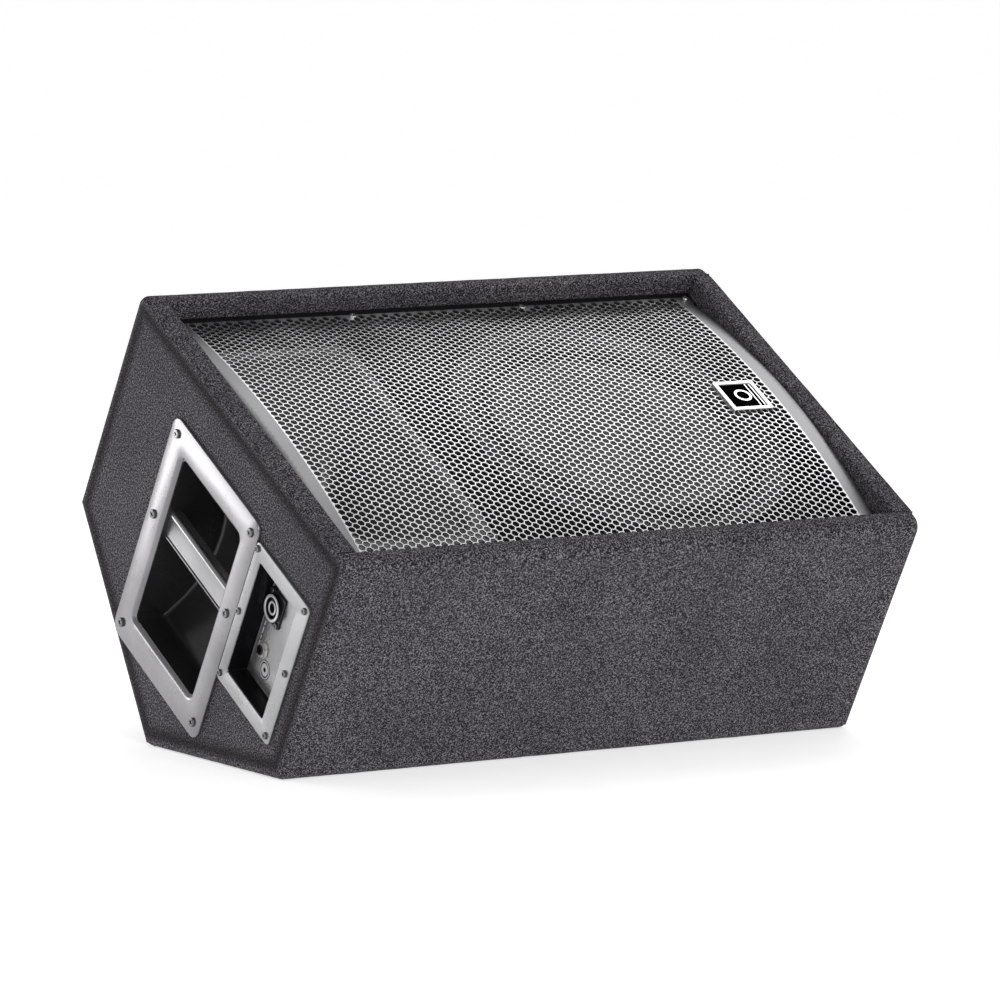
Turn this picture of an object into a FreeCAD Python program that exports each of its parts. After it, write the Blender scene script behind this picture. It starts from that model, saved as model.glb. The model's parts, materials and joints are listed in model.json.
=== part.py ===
import FreeCAD, Part
import Sketcher
import math
import os

Vector = FreeCAD.Vector
Placement = FreeCAD.Placement
Rotation = FreeCAD.Rotation

# A floor wedge for a stage. The cabinet is described in the frame of its mouth: x runs along the
# length, y across the mouth from the front lip to the top lip, z outwards, square to the mouth, with
# zero in the rim's plane. That frame is then tilted back about X so that the wedge stands on its floor
# panel. Row frame: x at mid length, y at mid depth, z = 0 on the floor.

# Driving dimensions in millimetres and degrees.
SIZES = {
    # cabinet
    "Length": 597, "MouthWidth": 413, "WedgeDepth": 349, "BackAngle": 30, "SeamRun": 8,
    "Panel": 15, "EndPanel": 15, "Baffle": 15, "BaffleDrop": 34, "Carpet": 2.5, "Cleat": 18,
    "TopLipRound": 12, "FrontLipRound": 13, "BackRound": 3, "FloorRound": 11, "RimRound": 3.5,
    "BattenWidth": 20, "BattenRise": 14.5, "Lining": 20, "LiningMargin": 12,
    # grille
    "GrilleSheet": 1.2, "GrilleFlange": 17, "GrilleRise": 15.3, "GrilleGap": 0.8,
    "GrilleEndGap": 0.5, "GrilleEndBow": 5, "GrilleScrewInset": 10, "GrilleScrewNear": 90,
    "GrilleScrewFar": 269, "BadgeSide": 44, "BadgeThick": 2.4, "BadgeFrame": 5,
    "BadgeCorner": 2, "BadgeX": 225,
    # handle in the left end
    "HandleY": 10.2, "HandleZ": 171.3, "HandlePlateWide": 172.4, "HandlePlateHigh": 234.2,
    "HandlePlateCorner": 12, "PlateThick": 3, "HandleOpenWide": 117.5, "HandleOpenHigh": 175.8,
    "HandleOpenCorner": 6, "LipDeep": 5, "LipWall": 2, "CupWall": 2.5, "CupDeep": 66,
    "CupSide": 28,
    "CutClearance": 1, "GripWide": 27, "GripThick": 15, "GripSet": 6, "GripRise": 16.2, "GripRound": 5,
    "HandleScrewWide": 148, "HandleScrewHigh": 206.2,
    # input dish in the left end
    "DishY": 127.8, "DishZ": 140.2, "DishPlateWide": 102.5, "DishPlateHigh": 147, "DishCorner": 5,
    "DishOpenY": 124.4, "DishOpenWide": 70.3, "DishOpenHigh": 116.3, "DishDeep": 21, "DishWall": 2.5,
    "DishScrewY": 126, "DishScrewWide": 91, "DishScrewHigh": 133.6, "SocketY": 103.6, "SocketZ": 121.5,
    "SocketFlangeWide": 26, "SocketFlangeHigh": 31, "SocketRing": 25, "SocketBore": 19.5,
    "SocketCore": 13, "SocketRise": 6, "SocketScrewUp": 12.2, "SocketScrewOut": 9.8,
    "SocketScrewHole": 3.2, "SocketBarrel": 22, "SocketLong": 22, "SocketKey": 2.6,
    "JackZ": 166.8, "JackBore": 6.5, "JackBush": 9.4, "JackNut": 14, "JackLong": 27,
    "JackRise": 4.4, "JackWasher": 0.8, "JackBlockWide": 16, "JackBlockHigh": 20,
    # woofer
    "WooferEndGap": 22.5, "WooferFrame": 315, "FrameSeat": 16.5, "FrameScrewInset": 5, "FrameThick": 2.5,
    "GasketRise": 5.5, "ConeInset": 39.5, "ConeNeckDeep": 58, "CoilRadius": 32,
    "CoilGap": 0.6, "DustCap": 52, "DustCapRise": 19, "ShelfDeep": 80, "ShelfRing": 73, "BasketDeep": 102,
    "TopPlate": 8, "MagnetThick": 20,
    "BackPlate": 8, "MagnetRadius": 85, "PlateRadius": 76, "BasketWindows": 8, "BasketWall": 3,
    "SurroundWide": 18, "SurroundGlued": 12.3, "Membrane": 0.8, "CoilFormer": 0.4, "CoilWire": 0.8,
    "PoleVent": 10, "WooferScrewHole": 2.5,
    # horn and compression driver
    "HornEndGap": 19.5, "HornFlangeWide": 157, "HornFlangeHigh": 299, "HornFlangeThick": 4,
    "HornFlangeCorner": 8, "HornScrewInset": 8.5, "HornMouthWide": 123, "HornMouthHigh": 265,
    "HornMouthCorner": 25, "HornWall": 3, "HornDeep": 105,
    "Throat": 25.4, "HornCutClearance": 1.5, "ThroatFlange": 40,
    "ThroatFlangeThick": 8, "DriverRadius": 44, "DriverPlate": 8, "DriverMagnet": 16,
    "DriverBack": 6, "DriverCover": 18, "DriverDome": 17,
    # pole socket in the right end
    "PoleZ": 165, "PoleBore": 36.5, "PoleDeep": 85, "PoleWall": 3, "PoleFlange": 50,
    "PoleFlangeThick": 3, "PoleScrewCircle": 82,
    # crossover inside the rear upper panel
    "BoardX": -60, "BoardZ": 150, "BoardLong": 125, "BoardHigh": 96, "BoardThick": 1.6,
    "BoardSpacer": 8, "LeadDiameter": 5,
    # fastenings
    "ScrewClearance": 2.3,
}

doc = FreeCAD.newDocument("stage_wedge")
sheet = doc.addObject("Spreadsheet::Sheet", "Sizes")
nodes = []


class Size:
    """A dimension that carries both its number and the sheet formula that gives it."""

    def __init__(self, value, formula):
        self.value = float(value)
        self.formula = formula

    def __add__(self, other):
        return Size(self.value + number(other), "(%s + %s)" % (self.formula, text(other)))

    def __sub__(self, other):
        return Size(self.value - number(other), "(%s - %s)" % (self.formula, text(other)))

    def __mul__(self, other):
        return Size(self.value * number(other), "(%s * %s)" % (self.formula, text(other)))

    def __truediv__(self, other):
        return Size(self.value / number(other), "(%s / %s)" % (self.formula, text(other)))

    def __neg__(self):
        return Size(-self.value, "(0 - %s)" % self.formula)

    __radd__ = __add__
    __rmul__ = __mul__

    def __rsub__(self, other):
        return Size(number(other) - self.value, "(%s - %s)" % (text(other), self.formula))


def number(size):
    return size.value if isinstance(size, Size) else float(size)


def text(size):
    return size.formula if isinstance(size, Size) else "(%r)" % float(size)


def cosine(angle):
    return Size(math.cos(math.radians(angle.value)), "cos(%s)" % angle.formula)


def sine(angle):
    return Size(math.sin(math.radians(angle.value)), "sin(%s)" % angle.formula)


def tangent(angle):
    return Size(math.tan(math.radians(angle.value)), "tan(%s)" % angle.formula)


def read_sizes():
    for row, (name, value) in enumerate(SIZES.items(), start=1):
        sheet.set("A%d" % row, name)
        sheet.set("B%d" % row, str(value))
        sheet.setAlias("B%d" % row, name)
    doc.recompute()
    return {name: Size(getattr(sheet, name), "Sizes." + name) for name in SIZES}


s = read_sizes()

# ---------------------------------------------------------------- cabinet lines
half_length = s["Length"] / 2
half_mouth = s["MouthWidth"] / 2
carpet = s["Carpet"]
tan_back = tangent(s["BackAngle"])
cos_back = cosine(s["BackAngle"])
sin_back = sine(s["BackAngle"])

wood_end = half_length - carpet
inner_end = wood_end - s["EndPanel"]
lined_end = inner_end - carpet
wood_side = half_mouth - carpet
inner_side = wood_side - s["Panel"]
lined_side = inner_side - carpet
baffle_face = -s["BaffleDrop"]
baffle_back = baffle_face - s["Baffle"]
batten_top = baffle_face + s["BattenRise"]
plate_face = half_length + s["PlateThick"]
zero = Size(0, "0")
frame_radius = s["WooferFrame"] / 2
woofer_x = inner_end - s["WooferEndGap"] - frame_radius
horn_x = s["HornEndGap"] + s["HornFlangeWide"] / 2 - inner_end
woofer_opening = frame_radius - s["FrameSeat"]


def pentagon(inset):
    """The wedge's outline moved inwards on every side but the mouth, round from the top lip."""
    half = half_mouth - inset
    apex = s["WedgeDepth"] - inset / cos_back
    side = apex - half * tan_back
    return (half, -inset), (half, -side), (zero, -apex), (-half, -side), (-half, -inset)


def row_origin():
    """Where the mouth's centre lies in the row frame: y from the two lips' extremes, z from the apex."""
    lip = half_mouth * cos_back - s["FrontLipRound"] * (cos_back + sin_back - 1)
    side = s["WedgeDepth"] - half_mouth * tan_back
    round_off = s["BackRound"] * (1 / math.sin(math.radians(60)) - 1)
    back = half_mouth * cos_back + side * sin_back - round_off
    return (lip - back) / 2, s["WedgeDepth"] * cos_back


origin_y, origin_z = row_origin()

# ---------------------------------------------------------------- modelling helpers


def bind(feature, name, size):
    if isinstance(size, Size):
        feature.setExpression(name, size.formula)
    else:
        setattr(feature, name, size)


def seat(feature, x=0, y=0, z=0, facing="out"):
    """Places an object in the mouth's frame, with its own Z outwards or towards the left or right end."""
    turn = {"out": 0, "left": -90, "right": 90}[facing]
    tilt = Rotation(Vector(1, 0, 0), s["BackAngle"].value)
    feature.Placement = Placement(Vector(), tilt.multiply(Rotation(Vector(0, 1, 0), turn)))
    spots = {
        "x": x + zero,
        "y": origin_y + y * cos_back - z * sin_back,
        "z": origin_z + y * sin_back + z * cos_back,
    }
    for axis, spot in spots.items():
        setattr(feature.Placement.Base, axis, spot.value)
        feature.setExpression("Placement.Base." + axis, spot.formula)


def node(feature, label, x=0, y=0, z=0, facing="out"):
    feature.Label = label
    seat(feature, x, y, z, facing)
    nodes.append(feature)
    return feature


def new_body(label, x=0, y=0, z=0, facing="out"):
    return node(doc.addObject("PartDesign::Body", label), label, x, y, z, facing)


def sketch_on(body, role, lift=0):
    """An empty sketch on one of the body's own origin planes, moved along that plane's normal."""
    sketch = body.newObject("Sketcher::SketchObject", body.Label + "_sketch")
    support = next(f for f in body.Origin.OriginFeatures if f.Role == role)
    sketch.AttachmentSupport = [(support, "")]
    sketch.MapMode = "FlatFace"
    sketch.AttachmentOffset = Placement(Vector(0, 0, number(lift)), Rotation())
    if isinstance(lift, Size):
        sketch.setExpression("AttachmentOffset.Base.z", lift.formula)
    return sketch


def fix(sketch, kind, geometry, position, size):
    index = sketch.addConstraint(Sketcher.Constraint(kind, -1, 1, geometry, position, number(size)))
    if isinstance(size, Size):
        sketch.setExpression("Constraints[%d]" % index, size.formula)


def corner_trim(before, corner, after, radius):
    """For one rounded corner: its tangent length and the way from it to the arc's centre."""
    back = (before - corner).normalize()
    ahead = (after - corner).normalize()
    half_angle = back.getAngle(ahead) / 2
    bisector = (back + ahead).normalize()
    return radius / math.tan(half_angle), bisector * (radius / math.sin(half_angle))


def outline(sketch, points):
    """Draws a closed outline through points; a third number in a point is that corner's radius."""
    count = len(points)
    corners = [Vector(number(p[0]), number(p[1]), 0) for p in points]
    radii = [p[2] if len(p) > 2 else 0 for p in points]
    trims = [
        corner_trim(corners[i - 1], corners[i], corners[(i + 1) % count], number(radii[i]))
        if number(radii[i]) > 0 else (0.0, Vector())
        for i in range(count)
    ]
    lines = []
    for i in range(count):
        j = (i + 1) % count
        along = (corners[j] - corners[i]).normalize()
        start = corners[i] + along * trims[i][0]
        stop = corners[j] - along * trims[j][0]
        lines.append(sketch.addGeometry(Part.LineSegment(start, stop), False))
    for i in range(count):
        before = lines[i - 1]
        after = lines[i]
        if number(radii[i]) == 0:
            sketch.addConstraint(Sketcher.Constraint("Coincident", before, 2, after, 1))
            fix(sketch, "DistanceX", after, 1, points[i][0])
            fix(sketch, "DistanceY", after, 1, points[i][1])
            continue
        centre = corners[i] + trims[i][1]
        first = sketch.Geometry[before].EndPoint - centre
        second = sketch.Geometry[after].StartPoint - centre
        turns_left = first.cross(second).z > 0
        low, high = (first, second) if turns_left else (second, first)
        arc = sketch.addGeometry(
            Part.ArcOfCircle(
                Part.Circle(centre, Vector(0, 0, 1), number(radii[i])),
                math.atan2(low.y, low.x),
                math.atan2(high.y, high.x),
            ),
            False,
        )
        corner = sketch.addGeometry(Part.Point(corners[i]), True)
        fix(sketch, "DistanceX", corner, 1, points[i][0])
        fix(sketch, "DistanceY", corner, 1, points[i][1])
        sketch.addConstraint(Sketcher.Constraint("PointOnObject", corner, 1, before))
        sketch.addConstraint(Sketcher.Constraint("PointOnObject", corner, 1, after))
        ends = (1, 2) if turns_left else (2, 1)
        sketch.addConstraint(Sketcher.Constraint("Tangent", before, 2, arc, ends[0]))
        sketch.addConstraint(Sketcher.Constraint("Tangent", after, 1, arc, ends[1]))
        index = sketch.addConstraint(Sketcher.Constraint("Radius", arc, number(radii[i])))
        if isinstance(radii[i], Size):
            sketch.setExpression("Constraints[%d]" % index, radii[i].formula)


def circle(sketch, radius, x=0, y=0):
    centre = Vector(number(x), number(y), 0)
    ring = sketch.addGeometry(Part.Circle(centre, Vector(0, 0, 1), number(radius)), False)
    fix(sketch, "DistanceX", ring, 3, x)
    fix(sketch, "DistanceY", ring, 3, y)
    index = sketch.addConstraint(Sketcher.Constraint("Radius", ring, number(radius)))
    if isinstance(radius, Size):
        sketch.setExpression("Constraints[%d]" % index, radius.formula)


def rectangle(sketch, x, y, wide, high, radius=0):
    """A rectangle by its centre, with rounded corners where radius is given."""
    left, right = x - wide / 2, x + wide / 2
    low, top = y - high / 2, y + high / 2
    spots = ((left, low), (right, low), (right, top), (left, top))
    outline(sketch, [spot + (radius,) for spot in spots] if radius else spots)


def pad(body, sketch, length, reverse=False):
    feature = body.newObject("PartDesign::Pad", body.Label + "_pad")
    feature.Profile = sketch
    bind(feature, "Length", length)
    feature.Reversed = reverse
    return feature


def pocket(body, sketch, depth, reverse=False):
    """Cuts a sketch into the body, against the sketch's normal unless reversed, and proves that it cut."""
    doc.recompute()
    before = body.Shape.Volume
    feature = body.newObject("PartDesign::Pocket", body.Label + "_pocket")
    feature.Profile = sketch
    bind(feature, "Length", depth)
    feature.Reversed = reverse
    doc.recompute()
    if body.Shape.Volume > before - 0.01:
        raise RuntimeError("a pocket in %s cuts nothing" % body.Label)
    return feature


def revolve(body, points):
    """Turns a half outline, given as radius and height, about the body's own Z."""
    sketch = sketch_on(body, "XZ_Plane")
    outline(sketch, points)
    feature = body.newObject("PartDesign::Revolution", body.Label + "_turned")
    feature.Profile = sketch
    feature.ReferenceAxis = (sketch, ["V_Axis"])
    feature.Angle = 360
    return feature


def turned(label, points, x=0, y=0, z=0, facing="out"):
    body = new_body(label, x, y, z, facing)
    revolve(body, points)
    return body


def ring(label, inner, outer, low, high, x=0, y=0, z=0, facing="out"):
    """A plain washer-like ring, or a disc where inner is nothing."""
    inside = inner if number(inner) > 0 else zero
    points = ((inside, low), (outer, low), (outer, high), (inside, high))
    return turned(label, points, x, y, z, facing)


def plate_along_x(label, points, start, length):
    """Extrudes a y, z outline along the cabinet's length from x = start."""
    body = new_body(label)
    sketch = sketch_on(body, "YZ_Plane", start)
    outline(sketch, points)
    pad(body, sketch, length)
    return body


def shaped(label, shape, x=0, y=0, z=0, facing="out"):
    """A group of solids, or a swept or arched piece, from Part's own functions."""
    feature = doc.addObject("Part::Feature", label)
    feature.Shape = shape
    return node(feature, label, x, y, z, facing)


def spin_polar(body, feature, count):
    """Repeats a feature evenly round the body's own Z."""
    pattern = body.newObject("PartDesign::PolarPattern", body.Label + "_pattern")
    pattern.Originals = [feature]
    axis = next(f for f in body.Origin.OriginFeatures if f.Role == "Z_Axis")
    pattern.Axis = (axis, [""])
    pattern.Angle = 360
    bind(pattern, "Occurrences", count)
    body.Tip = pattern
    return pattern


def screw(head, rise, shank, length):
    """A cross-recess pan-head screw that stands on z = 0, its head above and its shank below."""
    cap = Part.makeCylinder(head / 2, rise)
    rim = [edge for edge in cap.Edges if edge.BoundBox.ZMin > rise * 0.9 and edge.Closed]
    cap = cap.makeFillet(rise * 0.45, rim)
    slot = Part.makeBox(head * 0.56, head * 0.14, rise, Vector(-head * 0.28, -head * 0.07, rise * 0.45))
    cross = slot.fuse(slot.rotated(Vector(), Vector(0, 0, 1), 90))
    stem = Part.makeCylinder(shank / 2, length, Vector(0, 0, -length))
    return cap.cut(cross).fuse(stem).removeSplitter()


def at_sites(shape, sites):
    return Part.makeCompound([shape.translated(Vector(*site)) for site in sites])


def lead(points, diameter):
    """A round lead along straight runs joined by tangent arcs."""
    spots = [Vector(*point) for point in points]
    edges = []
    start = spots[0]
    for i in range(1, len(spots) - 1):
        back = spots[i - 1] - spots[i]
        ahead = spots[i + 1] - spots[i]
        turn = math.pi - back.getAngle(ahead)
        radius = 0.45 * min(back.Length, ahead.Length) / math.tan(turn / 2)
        trim, to_centre = corner_trim(spots[i - 1], spots[i], spots[i + 1], radius)
        enter = spots[i] + back.normalize() * trim
        leave = spots[i] + ahead.normalize() * trim
        middle = spots[i] + to_centre - Vector(to_centre).normalize() * radius
        edges.append(Part.LineSegment(start, enter).toShape())
        edges.append(Part.Arc(enter, middle, leave).toShape())
        start = leave
    edges.append(Part.LineSegment(start, spots[-1]).toShape())
    path = Part.Wire(edges)
    heading = spots[1] - spots[0]
    section = Part.Wire(Part.Circle(spots[0], heading, diameter / 2).toShape())
    return path.makePipeShell([section], True, False)


# ---------------------------------------------------------------- wooden cabinet


def end_panel(label, start, holes):
    """A pentagon of plywood with rounded lips; holes are y, z, width, height and corner."""
    a, b, c, d, e = pentagon(carpet)
    lip_a = s["TopLipRound"] - carpet
    lip_e = s["FrontLipRound"] - carpet
    body = plate_along_x(label, (a + (lip_a,), b, c, d, e + (lip_e,)), start, s["EndPanel"])
    for hole in holes:
        cut = sketch_on(body, "YZ_Plane", start)
        if len(hole) == 3:
            circle(cut, hole[2], hole[0], hole[1])
        else:
            rectangle(cut, *hole)
        pocket(body, cut, s["EndPanel"], True)
    return body


def long_panel(label, first, last, lip=None):
    """One of the four boards between the ends; first and last index the outline's corners."""
    outer = pentagon(carpet)
    inner = pentagon(carpet + s["Panel"])
    tops = {0: (inner_side, -carpet), 4: (-inner_side, -carpet)}
    inside = [tops.get(i, inner[i]) for i in (last, first)]
    corners = [outer[first], outer[last]]
    if lip is not None:
        mouth_end = 0 if first == 0 else 1
        corners[mouth_end] = corners[mouth_end] + (lip,)
    return plate_along_x(label, corners + inside, -inner_end, inner_end * 2)


cup_wide = s["HandleOpenWide"] + 2 * (s["LipWall"] + s["CupWall"])
cup_high = s["HandleOpenHigh"] + 2 * (s["LipWall"] + s["CupWall"])
tub_wide = s["DishOpenWide"] + 2 * s["DishWall"]
tub_high = s["DishOpenHigh"] + 2 * s["DishWall"]
clear = s["CutClearance"]
left_cuts = (
    (s["HandleY"], -s["HandleZ"], cup_wide + 2 * clear, cup_high + 2 * clear, s["HandleOpenCorner"]),
    (-s["DishOpenY"], -s["DishZ"], tub_wide + 2 * clear, tub_high + 2 * clear, s["DishCorner"]),
)
pole_hole = s["PoleBore"] / 2 + s["PoleWall"] + clear
right_cuts = ((zero, -s["PoleZ"], pole_hole),)

end_panel("end_panel_left", -wood_end, left_cuts)
end_panel("end_panel_right", inner_end, right_cuts)
long_panel("rear_upper_panel", 0, 1, s["TopLipRound"] - carpet)
long_panel("rear_lower_panel", 1, 2)
long_panel("floor_panel", 2, 3)
long_panel("front_panel", 3, 4, s["FrontLipRound"] - carpet)


def baffle_board():
    body = new_body("baffle_board")
    sketch = sketch_on(body, "XY_Plane", baffle_back)
    rectangle(sketch, zero, zero, inner_end * 2, inner_side * 2)
    circle(sketch, woofer_opening, woofer_x, 0)
    grow = 2 * (s["HornWall"] + s["HornCutClearance"])
    mouth = (s["HornMouthWide"] + grow, s["HornMouthHigh"] + grow, s["HornMouthCorner"])
    rectangle(sketch, horn_x, zero, *mouth)
    pad(body, sketch, s["Baffle"])


def strips_along_x(label, outer, inner, low, high, reach):
    """A pair of equal wooden strips, one along each long wall."""
    body = new_body(label)
    for side in (1, -1):
        sketch = sketch_on(body, "YZ_Plane", -reach)
        near = ((side * outer, low), (side * outer, high))
        far = ((side * inner, high), (side * inner, low))
        outline(sketch, near + far)
        pad(body, sketch, reach * 2)


baffle_board()
cleat_low = baffle_back - s["Cleat"]
strips_along_x("baffle_cleats", inner_side, inner_side - s["Cleat"], cleat_low, baffle_back, inner_end)
batten_inner = inner_side - s["BattenWidth"]
strips_along_x("grille_battens", inner_side, batten_inner, baffle_face, batten_top, lined_end)

# ---------------------------------------------------------------- carpet and lining

turn_under = s["FloorRound"] * tan_back + s["SeamRun"]


def along(start, stop, distance):
    """The point at a distance from start towards stop on the sloping floor face."""
    rise = 1 if stop[1].value > start[1].value else -1
    step = 1 if stop[0].value > start[0].value else -1
    return start[0] + step * distance * cos_back, start[1] + rise * distance * sin_back


def through_carpet(point):
    """The point straight above one on the floor face, on the carpet's other side."""
    return point[0] + carpet * sin_back, point[1] + carpet * cos_back


def carpet_wrap():
    """Two bands of carpet: from the floor edge up the wall, over the rim and down to the grille batten."""
    out = pentagon(zero)
    wood = pentagon(carpet)
    seam_front = along(out[3], out[2], turn_under)
    seam_rear = along(out[2], out[3], turn_under)
    band_front = (
        seam_front, out[3] + (s["FloorRound"],), out[4] + (s["FrontLipRound"],),
        (-lined_side, zero, s["RimRound"]), (-lined_side, batten_top), (-inner_side, batten_top),
        (-inner_side, -carpet), wood[4] + (s["FrontLipRound"] - carpet,), wood[3],
        through_carpet(seam_front),
    )
    band_rear = (
        seam_rear, out[2] + (s["FloorRound"],), out[1] + (s["BackRound"],),
        out[0] + (s["TopLipRound"],), (lined_side, zero, s["RimRound"]), (lined_side, batten_top),
        (inner_side, batten_top), (inner_side, -carpet), wood[0] + (s["TopLipRound"] - carpet,),
        wood[1], wood[2], through_carpet(seam_rear),
    )
    body = new_body("carpet_wrap")
    for band in (band_front, band_rear):
        sketch = sketch_on(body, "YZ_Plane", -half_length)
        outline(sketch, band)
        pad(body, sketch, s["Length"])
    high = batten_top + carpet
    for start in (-half_length, inner_end):
        ends = sketch_on(body, "YZ_Plane", start)
        for side in (-1, 1):
            rectangle(ends, side * (inner_side - carpet / 2), (batten_top - carpet) / 2, carpet, -high)
        pocket(body, ends, half_length - inner_end, True)


def carpet_floor():
    out = pentagon(zero)
    first = along(out[2], out[3], turn_under)
    last = along(out[3], out[2], turn_under)
    points = (first, last, through_carpet(last), through_carpet(first))
    plate_along_x("carpet_floor", points, -half_length, s["Length"])


def carpet_end(label, side, holes):
    """The carpet on one end: a sheet on the panel, a strip over its rim and a skin down to the baffle."""
    a, b, c, d, e = pentagon(carpet)
    lip_a = s["TopLipRound"] - carpet
    lip_e = s["FrontLipRound"] - carpet
    start = wood_end if side > 0 else -half_length
    body = plate_along_x(label, (a + (lip_a,), b, c, d, e + (lip_e,)), start, carpet)
    for hole in holes:
        cut = sketch_on(body, "YZ_Plane", start)
        if len(hole) == 3:
            circle(cut, hole[2], hole[0], hole[1])
        else:
            rectangle(cut, *hole)
        pocket(body, cut, carpet, True)
    rim = sketch_on(body, "XZ_Plane", -lined_side)
    outline(rim, (
        (side * half_length, zero, s["RimRound"]), (side * half_length, -2 * carpet),
        (side * wood_end, -2 * carpet), (side * wood_end, -carpet), (side * inner_end, -carpet),
        (side * inner_end, baffle_face), (side * lined_end, baffle_face),
        (side * lined_end, zero, s["RimRound"]),
    ))
    pad(body, rim, lined_side * 2)


def acoustic_lining():
    """A V of fibre wool on the two sloping panels behind the drivers."""
    outer = pentagon(carpet + s["Panel"])
    inner = pentagon(carpet + s["Panel"] + s["Lining"])
    half = inner_side - s["LiningMargin"]
    drop = half * tan_back
    points = (
        (half, outer[2][1] + drop), outer[2], (-half, outer[2][1] + drop),
        (-half, inner[2][1] + drop), inner[2], (half, inner[2][1] + drop),
    )
    reach = inner_end - s["LiningMargin"]
    plate_along_x("acoustic_lining", points, -reach, reach * 2)


carpet_wrap()
carpet_floor()
carpet_end("carpet_end_left", -1, left_cuts)
carpet_end("carpet_end_right", 1, right_cuts)
acoustic_lining()

# ---------------------------------------------------------------- grille, its screws and the badge

screw_clearance = s["ScrewClearance"].value
flange_top = batten_top + s["GrilleSheet"]
grille_edge = lined_side - s["GrilleGap"]
arch_half = (grille_edge - s["GrilleFlange"]).value


def grille():
    """An arched steel sheet with a flat flange along each long edge and gently bowed ends."""
    sheet_thick = s["GrilleSheet"].value
    low = batten_top.value
    peak = low + s["GrilleRise"].value
    edge = grille_edge.value
    end = (lined_end - s["GrilleEndGap"]).value
    bow = s["GrilleEndBow"].value

    def section(lift):
        left = Part.LineSegment(Vector(0, -edge, low + lift), Vector(0, -arch_half, low + lift))
        arch = Part.Arc(
            Vector(0, -arch_half, low + lift), Vector(0, 0, peak + lift), Vector(0, arch_half, low + lift)
        )
        right = Part.LineSegment(Vector(0, arch_half, low + lift), Vector(0, edge, low + lift))
        return [part.toShape() for part in (left, arch, right)]

    under = section(0.0)
    over = section(sheet_thick)
    sides = [
        Part.LineSegment(Vector(0, y, low), Vector(0, y, low + sheet_thick)).toShape()
        for y in (-edge, edge)
    ]
    profile = Part.Face(Part.Wire(Part.__sortEdges__(under + over + sides)))
    arched = profile.extrude(Vector(2 * end, 0, 0)).translated(Vector(-end, 0, 0))
    ends = [
        Part.Arc(*[Vector(side * x, y, 0) for x, y in ((end - bow, -edge), (end, 0), (end - bow, edge))])
        for side in (-1, 1)
    ]
    lines = [
        Part.LineSegment(Vector(bow - end, y, 0), Vector(end - bow, y, 0)) for y in (-edge, edge)
    ]
    plan = Part.Face(Part.Wire(Part.__sortEdges__([part.toShape() for part in ends + lines])))
    spare = s["GrilleRise"].value
    trimmer = plan.extrude(Vector(0, 0, 3 * spare)).translated(Vector(0, 0, low - spare))
    screw_hole = Part.makeCylinder(screw_clearance, 3 * sheet_thick)
    holes = at_sites(screw_hole, [(x, y, low - sheet_thick) for x, y in grille_screw_spots()])
    trimmed = arched.common(trimmer)
    shaped("grille", trimmed.cut(holes))


def grille_screw_spots():
    across = (lined_side - s["GrilleScrewInset"]).value
    near = s["GrilleScrewNear"].value
    far = s["GrilleScrewFar"].value
    return [(x, y) for x in (-far, -near, near, far) for y in (-across, across)]


def badge():
    body = new_body("badge", s["BadgeX"], 0, batten_top + s["GrilleRise"] + s["GrilleSheet"])
    sketch = sketch_on(body, "XY_Plane")
    side = s["BadgeSide"]
    field = side - 2 * s["BadgeFrame"]
    rectangle(sketch, zero, zero, side, side, s["BadgeCorner"])
    pad(body, sketch, s["BadgeThick"])
    inner = sketch_on(body, "XY_Plane", s["BadgeThick"])
    rectangle(inner, zero, zero, field, field)
    pocket(body, inner, s["BadgeThick"] / 3)


grille()
grille_screw_shape = screw(6.6, 1.9, 4.4, 12)
grille_screw_sites = [(x, y, flange_top.value) for x, y in grille_screw_spots()]
shaped("grille_screws", at_sites(grille_screw_shape, grille_screw_sites))
badge()

# ---------------------------------------------------------------- handle in the left end
# These bodies face left: their own Z points out of the end, their own X up towards the mouth.


def left_end(label, y, z, out=0):
    """A body on the left end's outer face, centred at y, z and lifted outwards."""
    return new_body(label, -(half_length + out), y, z, "left")


def handle_plate():
    body = left_end("handle_plate", s["HandleY"], -s["HandleZ"])
    sketch = sketch_on(body, "XY_Plane")
    rectangle(sketch, zero, zero, s["HandlePlateHigh"], s["HandlePlateWide"], s["HandlePlateCorner"])
    high, wide, corner = s["HandleOpenHigh"], s["HandleOpenWide"], s["HandleOpenCorner"]
    rectangle(sketch, zero, zero, high, wide, corner)
    for x, y in handle_screw_spots():
        circle(sketch, s["ScrewClearance"], x, y)
    pad(body, sketch, s["PlateThick"])
    lip = sketch_on(body, "XY_Plane", s["PlateThick"] - s["LipDeep"])
    wall = 2 * s["LipWall"]
    rectangle(lip, zero, zero, high + wall, wide + wall, corner + s["LipWall"])
    rectangle(lip, zero, zero, high, wide, corner)
    pad(body, lip, s["LipDeep"])


def handle_screw_spots():
    across = s["HandleScrewWide"] / 2
    up = s["HandleScrewHigh"] / 2
    return [(x, y) for x in (up, s["GripRise"], -up) for y in (-across, across)]


def scoop(high, wide, corner, deep, radius):
    """A block with rounded corners whose bottom is part of a cylinder that lies across it."""
    block = Part.makeBox(high, wide, deep, Vector(-high / 2, -wide / 2, -deep))
    block = block.makeFillet(corner, [edge for edge in block.Edges if edge.BoundBox.ZLength > deep / 2])
    bottom = Part.makeCylinder(radius, wide, Vector(0, -wide / 2, radius - deep), Vector(0, 1, 0))
    return block.common(bottom)


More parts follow.
